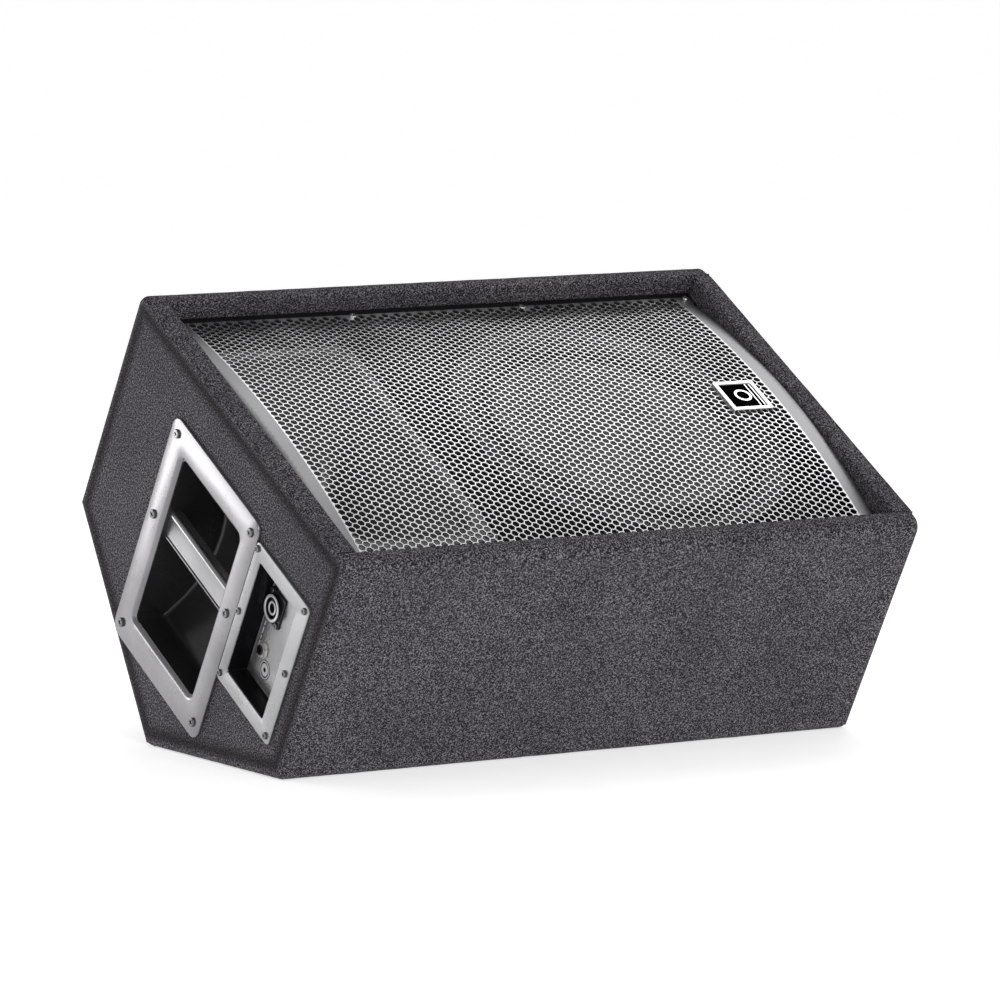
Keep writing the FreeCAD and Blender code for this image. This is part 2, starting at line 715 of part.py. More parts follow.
def handle_cup():
    """The hollow behind the opening: upright walls and a curved floor, deepest behind the grip."""
    wall = s["CupWall"].value
    deep = s["CupDeep"].value
    high = (cup_high - 2 * s["CupWall"]).value
    wide = (cup_wide - 2 * s["CupWall"]).value
    corner = (s["HandleOpenCorner"] + s["LipWall"]).value
    sag = deep - s["CupSide"].value
    radius = ((high / 2) ** 2 + sag ** 2) / (2 * sag)
    outer = scoop(high + 2 * wall, wide + 2 * wall, corner + wall, deep + wall, radius + wall)
    inner = scoop(high, wide, corner, deep, radius)
    shaped("handle_cup", outer.cut(inner), -half_length, s["HandleY"], -s["HandleZ"], "left")


def handle_grip_bar():
    """A flat bar across the opening, its long upper and lower edges rounded."""
    middle = s["GripRise"] - s["HandleZ"]
    body = left_end("handle_grip_bar", s["HandleY"], middle, s["PlateThick"] - s["GripSet"])
    span = s["HandleOpenWide"]
    sketch = sketch_on(body, "XZ_Plane", -span / 2)
    half = s["GripWide"] / 2
    low = -s["GripThick"]
    soft = s["GripRound"]
    outline(sketch, ((-half, zero, 2), (half, zero, soft), (half, low, soft), (-half, low, 2)))
    pad(body, sketch, span)


handle_plate()
handle_cup()
handle_grip_bar()
plate_screw = screw(8.5, 2.2, 4.4, 16)
shaped(
    "handle_screws",
    at_sites(plate_screw, [(number(x), number(y), 0) for x, y in handle_screw_spots()]),
    -plate_face, s["HandleY"], -s["HandleZ"], "left",
)

# ---------------------------------------------------------------- input dish, sockets


def input_dish():
    """A moulded dish: its flange on the carpet, its tub through the panel, holes for the two sockets."""
    body = left_end("input_dish", -s["DishY"], -s["DishZ"])
    shift = s["DishY"] - s["DishOpenY"]
    face = sketch_on(body, "XY_Plane")
    rectangle(face, zero, zero, s["DishPlateHigh"], s["DishPlateWide"], s["DishCorner"])
    for x, y in dish_screw_spots():
        circle(face, 1.8, x, y)
    pad(body, face, s["PlateThick"])
    tub = sketch_on(body, "XY_Plane")
    rectangle(tub, zero, shift, tub_high, tub_wide, s["DishCorner"])
    pad(body, tub, dish_floor_deep + s["DishWall"], True)
    recess = sketch_on(body, "XY_Plane", s["PlateThick"])
    rectangle(recess, zero, shift, s["DishOpenHigh"], s["DishOpenWide"], s["DishCorner"] / 2)
    pocket(body, recess, s["DishDeep"])
    holes = sketch_on(body, "XY_Plane", -dish_floor_deep)
    circle(holes, s["SocketBarrel"] / 2, s["DishZ"] - s["SocketZ"], s["DishY"] - s["SocketY"])
    circle(holes, s["JackBush"] / 2, s["DishZ"] - s["JackZ"], s["DishY"] - s["SocketY"])
    for side in (-1, 1):
        x = s["DishZ"] - s["SocketZ"] + side * s["SocketScrewUp"]
        y = s["DishY"] - s["SocketY"] + side * s["SocketScrewOut"]
        circle(holes, s["SocketScrewHole"] / 2, x, y)
    pocket(body, holes, s["DishWall"])


def dish_screw_spots():
    across = s["DishScrewWide"] / 2
    up = s["DishScrewHigh"] / 2
    shift = s["DishY"] - s["DishScrewY"]
    return [(x, shift + y) for x in (-up, zero, up) for y in (-across, across)]


dish_floor_deep = s["DishDeep"] - s["PlateThick"]
dish_floor = -half_length + dish_floor_deep


def speaker_socket():
    """A four-pole locking speaker socket: square flange, round shell with keys, core and rear barrel."""
    body = new_body("speaker_socket", dish_floor, -s["SocketY"], -s["SocketZ"], "left")
    flange = sketch_on(body, "XY_Plane")
    rectangle(flange, zero, zero, s["SocketFlangeHigh"], s["SocketFlangeWide"], 2)
    for side in (-1, 1):
        circle(flange, s["SocketScrewHole"] / 2, side * s["SocketScrewUp"], side * s["SocketScrewOut"])
    pad(body, flange, 2)
    shell = sketch_on(body, "XY_Plane")
    circle(shell, s["SocketRing"] / 2, zero, zero)
    pad(body, shell, s["SocketRise"])
    barrel = sketch_on(body, "XY_Plane")
    circle(barrel, s["SocketBarrel"] / 2, zero, zero)
    pad(body, barrel, s["SocketLong"], True)
    cavity = sketch_on(body, "XY_Plane", s["SocketRise"])
    circle(cavity, s["SocketBore"] / 2, zero, zero)
    pocket(body, cavity, s["SocketRise"] + s["SocketLong"] - 3)
    core = sketch_on(body, "XY_Plane", 3 - s["SocketLong"])
    circle(core, s["SocketCore"] / 2, zero, zero)
    circle(core, s["SocketCore"] / 2 - 2, zero, zero)
    pad(body, core, s["SocketLong"] + s["SocketRise"] - 4)
    for turn in (0, 90, 180, 270):
        key = sketch_on(body, "XY_Plane", 3 - s["SocketLong"])
        reach = s["SocketBore"] / 2 - 1.2
        angle = math.radians(turn + 45)
        x, y = reach * math.cos(angle), reach * math.sin(angle)
        rectangle(key, x, y, s["SocketKey"], s["SocketKey"])
        pad(body, key, s["SocketLong"] - 6)


def speaker_socket_parts():
    tag = Part.makeBox(0.8, 4.8, 9, Vector(-0.4, -2.4, -9))
    spots = [(6 * math.cos(math.radians(a)), 6 * math.sin(math.radians(a)), 0) for a in (0, 90, 180, 270)]
    rear = dish_floor + s["SocketLong"]
    shaped("speaker_socket_contacts", at_sites(tag, spots), rear, -s["SocketY"], -s["SocketZ"], "left")
    fixing = screw(5.4, 1.6, 3, 9)
    up, out = s["SocketScrewUp"].value, s["SocketScrewOut"].value
    pair = at_sites(fixing, [(side * up, side * out, 2) for side in (-1, 1)])
    shaped("speaker_socket_screws", pair, dish_floor, -s["SocketY"], -s["SocketZ"], "left")


def jack():
    """A quarter-inch jack: housing behind the dish floor, threaded bush, washer and hexagon nut."""
    spot = (dish_floor, -s["SocketY"], -s["JackZ"], "left")
    body = new_body("jack_body", *spot)
    back = -s["DishWall"]
    block = sketch_on(body, "XY_Plane", back)
    rectangle(block, zero, zero, s["JackBlockHigh"], s["JackBlockWide"], 1.5)
    pad(body, block, s["JackLong"], True)
    bush = sketch_on(body, "XY_Plane", back)
    circle(bush, s["JackBush"] / 2, zero, zero)
    pad(body, bush, s["DishWall"] + s["JackRise"])
    bore = sketch_on(body, "XY_Plane", s["JackRise"])
    circle(bore, s["JackBore"] / 2, zero, zero)
    pocket(body, bore, s["JackLong"])
    ring("jack_washer", s["JackBush"] / 2, s["JackNut"] / 2 + 1, zero, s["JackWasher"], *spot)
    nut = new_body("jack_nut", *spot)
    face = sketch_on(nut, "XY_Plane", s["JackWasher"])
    across = s["JackNut"] / 2
    flats = [math.radians(60 * i) for i in range(6)]
    outline(face, [(across * math.cos(a), across * math.sin(a)) for a in flats])
    circle(face, s["JackBush"] / 2, zero, zero)
    pad(nut, face, 2.6)


input_dish()
speaker_socket()
speaker_socket_parts()
jack()
shaped(
    "input_dish_screws",
    at_sites(screw(6.5, 1.8, 3.4, 14), [(number(x), number(y), 0) for x, y in dish_screw_spots()]),
    -plate_face, -s["DishY"], -s["DishZ"], "left",
)

# ---------------------------------------------------------------- woofer
# Radius and height; height 0 is the baffle's front face.
woofer_spot = (woofer_x, 0, baffle_face)
frame_top = s["FrameThick"]
shelf = -s["ShelfDeep"]
basket_foot = -s["BasketDeep"]
wall = s["BasketWall"]
edge = frame_radius - s["ConeInset"]
surround_outer = edge + s["SurroundWide"]
surround_lip = surround_outer + s["SurroundGlued"]
fabric = s["Membrane"].value
shelf_ring = s["ShelfRing"]
coil = s["CoilRadius"]
outer_coil = coil + s["CoilFormer"]


def woofer_basket():
    """A pressed frame: flange, cone-shaped wall with windows, shelf for the spider and a foot ring."""
    body = turned("woofer_basket", (
        (frame_radius, 0), (frame_radius, frame_top + fabric), (surround_lip, frame_top + fabric),
        (surround_lip, frame_top), (surround_outer, frame_top), (surround_outer, 0.0),
        (woofer_opening - 9, -5.0), (shelf_ring + 13.5, shelf), (shelf_ring, shelf),
        (shelf_ring, basket_foot + wall), (coil + 12, basket_foot + wall), (coil + 12, basket_foot),
        (shelf_ring + wall, basket_foot), (shelf_ring + wall, shelf - wall),
        (shelf_ring + 16, shelf - wall), (woofer_opening - 5, -7.0), (woofer_opening - 2, 0.0),
    ), *woofer_spot)
    window = sketch_on(body, "YZ_Plane")
    outline(window, (
        (-34, -18, 8), (34, -18, 8), (20, shelf + 14, 7), (-20, shelf + 14, 7),
    ))
    cut = pocket(body, window, frame_radius, True)
    spin_polar(body, cut, s["BasketWindows"])
    holes = sketch_on(body, "XY_Plane", s["GasketRise"])
    for x, y in woofer_screw_spots():
        circle(holes, s["WooferScrewHole"], x, y)
    pocket(body, holes, s["GasketRise"])


def woofer_screw_spots():
    reach = frame_radius - s["FrameScrewInset"]
    turns = [math.radians(22.5 + 45 * i) for i in range(8)]
    return [(reach * math.cos(turn), reach * math.sin(turn)) for turn in turns]


def membrane(label, upper, thick):
    lower = [(radius, level - thick) for radius, level in reversed(upper)]
    return turned(label, upper + lower, *woofer_spot)


def woofer_soft_parts():
    glued = frame_top + fabric
    rolls = [
        (surround_lip, glued), (surround_outer, glued), (surround_outer - 2.5, frame_top + 3.6),
        (surround_outer - 6, frame_top + 4.2), (surround_outer - 9, frame_top + 1.0),
        (surround_outer - 12, frame_top + 4.2), (surround_outer - 15, frame_top + 2.8),
        (edge + 0.6, fabric), (edge - 6, fabric),
    ]
    membrane("woofer_surround", rolls, fabric)
    start = shelf_ring + 11
    first = shelf_ring + 1
    last = outer_coil + 4
    count = 10
    waves = [
        (first + (last - first) * (i / count), shelf + fabric + (1.4 if i % 2 else 0))
        for i in range(count + 1)
    ]
    ends = (start, shelf + fabric), (outer_coil, shelf + fabric)
    membrane("woofer_spider", [ends[0]] + waves + [ends[1]], fabric)


def woofer_moving_parts():
    neck = -s["ConeNeckDeep"]
    turned("woofer_cone", (
        (edge, zero), (edge - 6.5, zero), (outer_coil + 2, neck), (outer_coil, neck),
        (outer_coil, neck - 3.5), (outer_coil + 2.4, neck - 3.5), (edge - 5.6, zero - 0.9),
        (edge, zero - 0.9),
    ), *woofer_spot)
    cap = s["DustCap"]
    slope = (edge - 6.5 - outer_coil - 2) / (-neck)
    cap_base = neck + (cap - outer_coil - 2) / slope
    crown = s["DustCapRise"]
    steps = 8
    angles = [math.pi / 2 * i / steps for i in range(steps)]
    over = [(cap * math.cos(a), cap_base + 0.5 + crown * math.sin(a)) for a in angles]
    top = cap_base + 0.5 + crown
    under = [(r * 0.985, h - 0.9) for r, h in reversed(over[1:])]
    foot = (cap - 1.6, cap_base + 0.5)
    turned(
        "woofer_dust_cap",
        over + [(zero, top), (zero, top - 0.9)] + under + [foot],
        *woofer_spot,
    )
    foot_of_coil = basket_foot - s["TopPlate"] - 4
    wire = outer_coil + s["CoilWire"]
    turned("woofer_voice_coil", (
        (coil, neck + 2), (outer_coil, neck + 2), (outer_coil, basket_foot + 4),
        (wire, basket_foot + 4), (wire, foot_of_coil), (coil, foot_of_coil),
    ), *woofer_spot)


def woofer_motor():
    plate_low = basket_foot - s["TopPlate"]
    magnet_low = plate_low - s["MagnetThick"]
    gap_outer = outer_coil + s["CoilWire"] + s["CoilGap"]
    ring("woofer_top_plate", gap_outer, s["PlateRadius"], plate_low, basket_foot, *woofer_spot)
    ring("woofer_magnet", coil + 12, s["MagnetRadius"], magnet_low, plate_low, *woofer_spot)
    pole = coil - s["CoilGap"]
    back_low = magnet_low - s["BackPlate"]
    vent = s["PoleVent"]
    turned("woofer_back_plate", (
        (vent, back_low), (s["PlateRadius"] - 3, back_low), (s["PlateRadius"], back_low + 3),
        (s["PlateRadius"], magnet_low), (pole, magnet_low), (pole, basket_foot), (vent, basket_foot),
    ), *woofer_spot)
    gasket = new_body("woofer_gasket", *woofer_spot)
    face = sketch_on(gasket, "XY_Plane", frame_top + fabric)
    circle(face, frame_radius - 0.5, zero, zero)
    circle(face, surround_outer + 2, zero, zero)
    for x, y in woofer_screw_spots():
        circle(face, s["WooferScrewHole"], x, y)
    pad(gasket, face, s["GasketRise"] - frame_top - fabric)


def woofer_fixings():
    rise = s["GasketRise"].value
    spots = [(number(x), number(y), rise) for x, y in woofer_screw_spots()]
    shaped("woofer_screws", at_sites(screw(8, 2.4, 4.6, 20), spots), *woofer_spot)
    block = Part.makeBox(9, 22, 14, Vector(-9, -11, -7))
    foot = woofer_x - shelf_ring - wall
    shaped("woofer_terminals", block, foot, 0, baffle_face + shelf - 10)


woofer_basket()
woofer_soft_parts()
woofer_moving_parts()
woofer_motor()
woofer_fixings()

# ---------------------------------------------------------------- horn and compression driver
horn_spot = (horn_x, 0, baffle_face)
horn_exit = -s["HornDeep"]
driver_top = horn_exit - s["ThroatFlangeThick"]
plate_bottom = driver_top - s["DriverPlate"]
magnet_bottom = plate_bottom - s["DriverMagnet"]
back_bottom = magnet_bottom - s["DriverBack"]


def horn():
    """A rectangular flared horn: flange on the baffle, four-section flare down to a round throat."""
    body = new_body("horn", *horn_spot)
    throat = s["Throat"]

    def section(level, share, grow):
        sketch = sketch_on(body, "XY_Plane", level)
        wide = throat + (s["HornMouthWide"] - throat) * share + 2 * grow
        high = throat + (s["HornMouthHigh"] - throat) * share + 2 * grow
        corner = (throat / 2 - 0.2) + (s["HornMouthCorner"] - throat / 2) * share + grow
        rectangle(sketch, zero, zero, wide, high, corner)
        return sketch

    levels = ((1.0, 0.0), (0.55, 0.3), (0.22, 0.65), (0.0, 1.0))
    for kind, grow in (("PartDesign::AdditiveLoft", s["HornWall"]), ("PartDesign::SubtractiveLoft", zero)):
        top = s["HornFlangeThick"]
        sections = [section(top + (horn_exit - top) * deep, share, grow) for share, deep in levels]
        loft = body.newObject(kind, body.Label + "_flare")
        loft.Profile = sections[0]
        loft.Sections = sections[1:]
        if grow is not zero:
            flange = sketch_on(body, "XY_Plane")
            size = (s["HornFlangeWide"], s["HornFlangeHigh"], s["HornFlangeCorner"])
            rectangle(flange, zero, zero, *size)
            for x, y in horn_screw_spots():
                circle(flange, s["ScrewClearance"], x, y)
            pad(body, flange, s["HornFlangeThick"])
            foot = sketch_on(body, "XY_Plane", driver_top)
            circle(foot, s["ThroatFlange"], zero, zero)
            circle(foot, throat / 2, zero, zero)
            pad(body, foot, s["ThroatFlangeThick"])
        doc.recompute()


def horn_screw_spots():
    across = s["HornFlangeWide"] / 2 - s["HornScrewInset"]
    up = s["HornFlangeHigh"] / 2 - s["HornScrewInset"]
    return [(x, y) for x in (-across, across) for y in (-up, zero, up)]


def compression_driver():
    throat = s["Throat"] / 2
    radius = s["DriverRadius"]
    dome = s["DriverDome"]
    gap = 0.6
    turned("hf_front_plate", (
        (throat, driver_top), (s["ThroatFlange"], driver_top), (s["ThroatFlange"] + 2, driver_top - 2),
        (s["ThroatFlange"] + 2, plate_bottom), (dome + 2, plate_bottom), (dome - gap, magnet_bottom),
        (dome - gap, back_bottom), (throat - 2.5, back_bottom),
    ), *horn_spot)
    ring("hf_magnet", dome + 6, radius, magnet_bottom, plate_bottom, *horn_spot)
    ring("hf_top_plate", dome + 1.4, radius - 3, back_bottom, magnet_bottom, *horn_spot)
    top = back_bottom - 1.5
    steps = 6
    angles = [math.pi / 2 * i / steps for i in range(steps)]
    bow = [(dome * math.cos(angle), top - 4.0 * math.sin(angle)) for angle in angles]
    inside = [(r * 0.97, level + 0.35) for r, level in reversed(bow[1:])]
    former = [(dome, top + 6.0), (dome + 0.6, top + 6.0), (dome + 0.6, top + 0.4)]
    hem = [(dome + 4.0, top + 0.4), (dome + 4.0, top)]
    middle = [(zero, top - 4.0), (zero, top - 3.65)]
    rim = [(dome, top + 0.35)]
    turned("hf_diaphragm", former + hem + bow + middle + inside + rim, *horn_spot)
    cover_bottom = back_bottom - s["DriverCover"]
    turned("hf_cover", (
        (radius - 4, back_bottom), (radius - 4, cover_bottom, 5), (zero, cover_bottom),
        (zero, cover_bottom + 2.5), (radius - 7, cover_bottom + 2.5, 3), (radius - 7, back_bottom),
    ), *horn_spot)
    tab = Part.makeBox(7, 5, 4, Vector(0, -2.5, -2))
    sites = [(number(radius) - 4, side * 8.0, number(back_bottom) - 9) for side in (-1, 1)]
    shaped("hf_terminals", at_sites(tab, sites), *horn_spot)


horn()
shaped(
    "horn_screws",
    at_sites(
        screw(8, 2.2, 4.4, 16),
        [(number(x), number(y), s["HornFlangeThick"].value) for x, y in horn_screw_spots()],
    ),
    *horn_spot,
)
compression_driver()

# ---------------------------------------------------------------- pole socket in the right end


def pole_socket():
    """A flanged cup for a loudspeaker pole; its own Z points out of the right end."""
    bore = s["PoleBore"] / 2
    flange = s["PoleFlange"]
    top = s["PoleFlangeThick"]
    deep = -s["PoleDeep"]
    spot = (half_length, 0, -s["PoleZ"], "right")
    socket = turned("pole_socket", (
        (bore, top), (bore, deep), (zero, deep), (zero, deep - s["PoleWall"]),
        (bore + s["PoleWall"], deep - s["PoleWall"]), (bore + s["PoleWall"], zero), (flange, zero),
        (flange, top, 1.5),
    ), *spot)
    reach = s["PoleScrewCircle"] / 2
    turns = [math.radians(45 + 90 * i) for i in range(4)]
    spots = [(reach * math.cos(turn), reach * math.sin(turn)) for turn in turns]
    holes = sketch_on(socket, "XY_Plane", top)
    for x, y in spots:
        circle(holes, s["ScrewClearance"], x, y)
    pocket(socket, holes, top)
    sites = [(number(x), number(y), top.value) for x, y in spots]
    shaped("pole_socket_screws", at_sites(screw(8.5, 2.2, 4.4, 16), sites), *spot)


pole_socket()

# ---------------------------------------------------------------- crossover and internal leads


def crossover():
    """The filter board on spacers inside the rear upper panel, its parts facing the middle."""
    wall_y = inner_side.value
    board_y = wall_y - s["BoardSpacer"].value
    thick = s["BoardThick"].value
    long_side = s["BoardLong"].value
    high = s["BoardHigh"].value
    centre = Vector(s["BoardX"].value, 0, -s["BoardZ"].value)
    face_y = board_y - thick

    def spots(inset_x, inset_z):
        return [
            (centre.x + i * (long_side / 2 - inset_x), centre.z + k * (high / 2 - inset_z))
            for i in (-1, 1) for k in (-1, 1)
        ]

    def upright(shape):
        """Turns a shape made along +Z so that it stands out of the board, towards -Y."""
        return shape.rotated(Vector(), Vector(1, 0, 0), 90)

    board = Part.makeBox(
        long_side, thick, high, Vector(centre.x - long_side / 2, face_y, centre.z - high / 2)
    )
    corner_hole = upright(Part.makeCylinder(2.1, 3 * thick))
    holes = at_sites(corner_hole, [(x, board_y + thick, z) for x, z in spots(6, 6)])
    shaped("crossover_board", board.cut(holes))
    stand_off = s["BoardSpacer"].value
    spacer = Part.makeCylinder(4, stand_off).cut(Part.makeCylinder(2.1, stand_off))
    shaped("board_spacers", at_sites(upright(spacer), [(x, wall_y, z) for x, z in spots(6, 6)]))
    fixing = upright(screw(7, 2, 3.6, s["BoardSpacer"].value + thick + 8))
    shaped("board_screws", at_sites(fixing, [(x, face_y, z) for x, z in spots(6, 6)]))
    winding = Part.makeCylinder(17, 20).cut(Part.makeCylinder(8, 20))
    places = [(centre.x + i * 30, face_y, centre.z + 22) for i in (-1, 1)]
    shaped("inductors", at_sites(upright(winding), places))
    can = Part.makeCylinder(8, 34, Vector(), Vector(1, 0, 0))
    rows = [(centre.x - 44, face_y - 8, centre.z - 8), (centre.x - 44, face_y - 8, centre.z - 28)]
    rows.append((centre.x - 2, face_y - 8, centre.z - 28))
    shaped("capacitors", at_sites(can, rows))
    block = Part.makeBox(26, 9, 9)
    pair = [(centre.x + 2, face_y - 9, centre.z - 14), (centre.x + 32, face_y - 9, centre.z - 14)]
    shaped("resistors", at_sites(block, pair))
    return face_y, centre


def internal_leads(board_face, centre):
    """Leads from the input socket to the board and from the board to both drivers."""
    size = s["LeadDiameter"].value
    socket_x = (dish_floor + s["SocketLong"]).value
    socket_y = -s["SocketY"].value
    socket_z = -s["SocketZ"].value
    low = centre.z - 40
    shaped("input_lead", lead((
        (socket_x, socket_y, socket_z), (socket_x + 22, socket_y, socket_z - 4),
        (socket_x + 32, socket_y - 6, socket_z - 50), (socket_x + 42, socket_y + 14, socket_z - 100),
        (socket_x + 62, socket_y + 64, socket_z - 119), (socket_x + 84, socket_y + 124, socket_z - 121),
        (socket_x + 104, socket_y + 184, socket_z - 109), (centre.x - 60, board_face - 44, low - 22),
        (centre.x - 47, board_face - 16, low - 8), (centre.x - 46, board_face, low),
    ), size))
    tag_x = (woofer_x - shelf_ring).value - 12
    tag_z = (baffle_face + shelf).value - 10
    shaped("woofer_lead", lead((
        (tag_x, 0, tag_z), (tag_x - 28, 6, tag_z - 6), (tag_x - 48, 50, tag_z - 26),
        (tag_x - 46, 104, tag_z - 60), (tag_x - 36, 146, tag_z - 76),
        (centre.x + 44, board_face - 12, low - 6), (centre.x + 45, board_face, low),
    ), size))
    tab_x = (horn_x + s["DriverRadius"]).value + 3
    tab_z = (baffle_face + back_bottom).value - 9
    shaped("hf_lead", lead((
        (tab_x, 8, tab_z), (tab_x + 20, 12, tab_z - 4), (tab_x + 34, 48, tab_z - 18),
        (tab_x + 38, 98, tab_z - 26), (tab_x + 36, 144, tab_z - 20),
        (centre.x - 35, board_face - 12, low - 6), (centre.x - 34, board_face, low),
    ), size))


internal_leads(*crossover())


# ---------------------------------------------------------------- screw holes, checks and files


def broken(feature):
    shape = getattr(feature, "Shape", None)
    states = set(feature.State) & {"Invalid", "Error"}
    return bool(states) or (feature in nodes and (shape is None or shape.isNull() or not shape.isValid()))


doc.recompute()
failed = [feature.Label for feature in doc.Objects if broken(feature)]
if failed:
    raise RuntimeError("these objects did not build: " + ", ".join(failed))

os.makedirs("parts", exist_ok=True)
for feature in nodes:
    feature.Shape.exportStep("parts/%s.step" % feature.Label)
print("wrote %d sub-parts" % len(nodes))
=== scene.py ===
import bpy, bmesh, json, math
from mathutils import geometry, Matrix, Vector, noise


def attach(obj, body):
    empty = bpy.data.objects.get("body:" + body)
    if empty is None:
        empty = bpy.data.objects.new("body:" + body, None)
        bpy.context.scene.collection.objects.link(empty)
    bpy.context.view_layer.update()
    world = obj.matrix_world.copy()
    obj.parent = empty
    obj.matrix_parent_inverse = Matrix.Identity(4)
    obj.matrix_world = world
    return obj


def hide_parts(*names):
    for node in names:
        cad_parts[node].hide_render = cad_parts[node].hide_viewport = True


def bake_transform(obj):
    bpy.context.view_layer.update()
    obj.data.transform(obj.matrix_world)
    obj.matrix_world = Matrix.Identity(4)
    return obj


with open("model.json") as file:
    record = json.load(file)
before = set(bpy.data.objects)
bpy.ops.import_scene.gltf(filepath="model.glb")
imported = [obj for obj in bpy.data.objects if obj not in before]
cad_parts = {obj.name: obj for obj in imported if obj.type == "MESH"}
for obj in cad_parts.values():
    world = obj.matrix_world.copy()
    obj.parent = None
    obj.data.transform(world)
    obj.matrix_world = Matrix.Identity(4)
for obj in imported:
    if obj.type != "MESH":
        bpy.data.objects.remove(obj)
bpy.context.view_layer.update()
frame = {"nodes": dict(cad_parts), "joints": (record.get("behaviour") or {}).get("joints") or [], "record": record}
nodes = frame["nodes"]
weld = 1e-6

# The mouth's own frame: x along the wedge, y from the front lip to the top lip, z out of the mouth.
# The woofer's travel gives its tilt, and the carpet's highest and middle points give its origin.
travel = Vector(next(j["axis"] for j in frame["joints"] if j["name"] == "woofer_cone_travel"))
tilt = math.atan2(-travel.y, travel.z)
level = Matrix.Rotation(-tilt, 4, "X")


def boxIn(node, matrix):
    points = [matrix @ v.co for v in nodes[node].data.vertices]
    low = Vector([min(p[i] for p in points) for i in range(3)])
    high = Vector([max(p[i] for p in points) for i in range(3)])
    return low, high


rimBox = boxIn("carpet_wrap", level)
mouthCentre = Vector((0, (rimBox[0].y + rimBox[1].y) / 2, rimBox[1].z))
toRow = Matrix.Rotation(tilt, 4, "X") @ Matrix.Translation(mouthCentre)
toMouth = toRow.inverted()


def mouthBox(node):
    return boxIn(node, toMouth)


def centreOf(box):
    return (box[0] + box[1]) / 2


# Camera and light.

cameraSettings = {
    "azimuth": -32.096, "elevation": 6.64, "roll": 0.128, "lens": 243.52,
    "place": (-3.19772, -5.10283, 0.91444),
}


def makeCamera(cfg):
    data = bpy.data.cameras.new("camera")
    data.lens = cfg["lens"]
    data.sensor_width = 36
    data.clip_end = 100
    camera = bpy.data.objects.new("camera", data)
    turn = Matrix.Rotation(math.radians(cfg["azimuth"]), 4, "Z")
    rise = Matrix.Rotation(math.radians(90 - cfg["elevation"]), 4, "X")
    roll = Matrix.Rotation(math.radians(cfg["roll"]), 4, "Z")
    camera.matrix_world = Matrix.Translation(cfg["place"]) @ turn @ rise @ roll
    bpy.context.scene.collection.objects.link(camera)
    bpy.context.scene.camera = camera


lightSettings = {
    "backLeftBox": {
        "place": (-0.94, 1.05, 0.31), "aim": (-0.30, 0.05, 0.24), "size": (0.6, 0.42), "power": 4.2,
    },
    "topRightBox": {
        "place": (1.25, 0.55, 1.95), "aim": (0.05, 0.0, 0.30), "size": (1.3, 0.9), "power": 8,
    },
    "frontBox": {
        "place": (-0.5, -2.8, 1.5), "aim": (0.0, 0.0, 0.15), "size": (1.8, 1.4), "power": 27,
    },
}


def makeLights(cfg):
    for name, lamp in cfg.items():
        data = bpy.data.lights.new(name, "AREA")
        data.shape = "RECTANGLE"
        data.size, data.size_y = lamp["size"]
        data.energy = lamp["power"]
        light = bpy.data.objects.new(name, data)
        aim = Vector(lamp["aim"]) - Vector(lamp["place"])
        turn = aim.to_track_quat("-Z", "Y").to_matrix().to_4x4()
        light.matrix_world = Matrix.Translation(lamp["place"]) @ turn
        light.visible_camera = False
        bpy.context.scene.collection.objects.link(light)
    bpy.context.scene.view_settings.view_transform = "Standard"


# Shared shader groups.


def newGroup(name, inputs, outputs):
    group = bpy.data.node_groups.new(name, "ShaderNodeTree")
    for label, value in inputs:
        socket = group.interface.new_socket(label, in_out="INPUT", socket_type="NodeSocketFloat")
        socket.default_value = value
    for label in outputs:
        group.interface.new_socket(label, in_out="OUTPUT", socket_type="NodeSocketFloat")
    return group, group.nodes.new("NodeGroupInput"), group.nodes.new("NodeGroupOutput")


# Adds a shader node; links maps its inputs to other nodes' outputs or to plain values.
def addNode(tree, kind, links=None, **values):
    node = tree.nodes.new(kind)
    for name, value in values.items():
        setattr(node, name, value)
    for name, source in (links or {}).items():
        socket = node.inputs[name]
        if isinstance(source, bpy.types.NodeSocket):
            tree.links.new(source, socket)
        else:
            socket.default_value = source
    return node


def ramp(tree, source, stops):
    node = addNode(tree, "ShaderNodeValToRGB", {"Fac": source})
    bar = node.color_ramp
    while len(bar.elements) < len(stops):
        bar.elements.new(0.5)
    for element, (place, tone) in zip(bar.elements, stops):
        element.position = place
        element.color = tone if len(tone) == 4 else (*tone, 1)
    return node.outputs["Color"]


def addNoise(tree, place, scale, detail, roughness=0.5):
    return addNode(tree, "ShaderNodeTexNoise", {
        "Vector": place, "Scale": scale, "Detail": detail, "Roughness": roughness,
    }).outputs["Fac"]


def addBump(tree, shader, height, strength, distance):
    bump = addNode(tree, "ShaderNodeBump", {"Height": height, "Strength": strength, "Distance": distance})
    tree.links.new(bump.outputs["Normal"], shader.inputs["Normal"])


# Fine moulded or powder-coat grain: a height to bump with and a mask of soft blotches.
def makeGrainGroup():
    inputs = [("Scale", 900.0), ("Blotch Scale", 14.0)]
    group, start, end = newGroup("finishGrain", inputs, ["Height", "Blotch"])
    place = addNode(group, "ShaderNodeTexCoord").outputs["Object"]
    fine = addNoise(group, place, start.outputs["Scale"], 3.0)
    blotch = addNoise(group, place, start.outputs["Blotch Scale"], 4.0)
    group.links.new(fine, end.inputs["Height"])
    group.links.new(blotch, end.inputs["Blotch"])
    return group


fibreSettings = {"tuft": 640.0, "hair": 1350.0, "patch": 16.0, "roughness": 0.6}


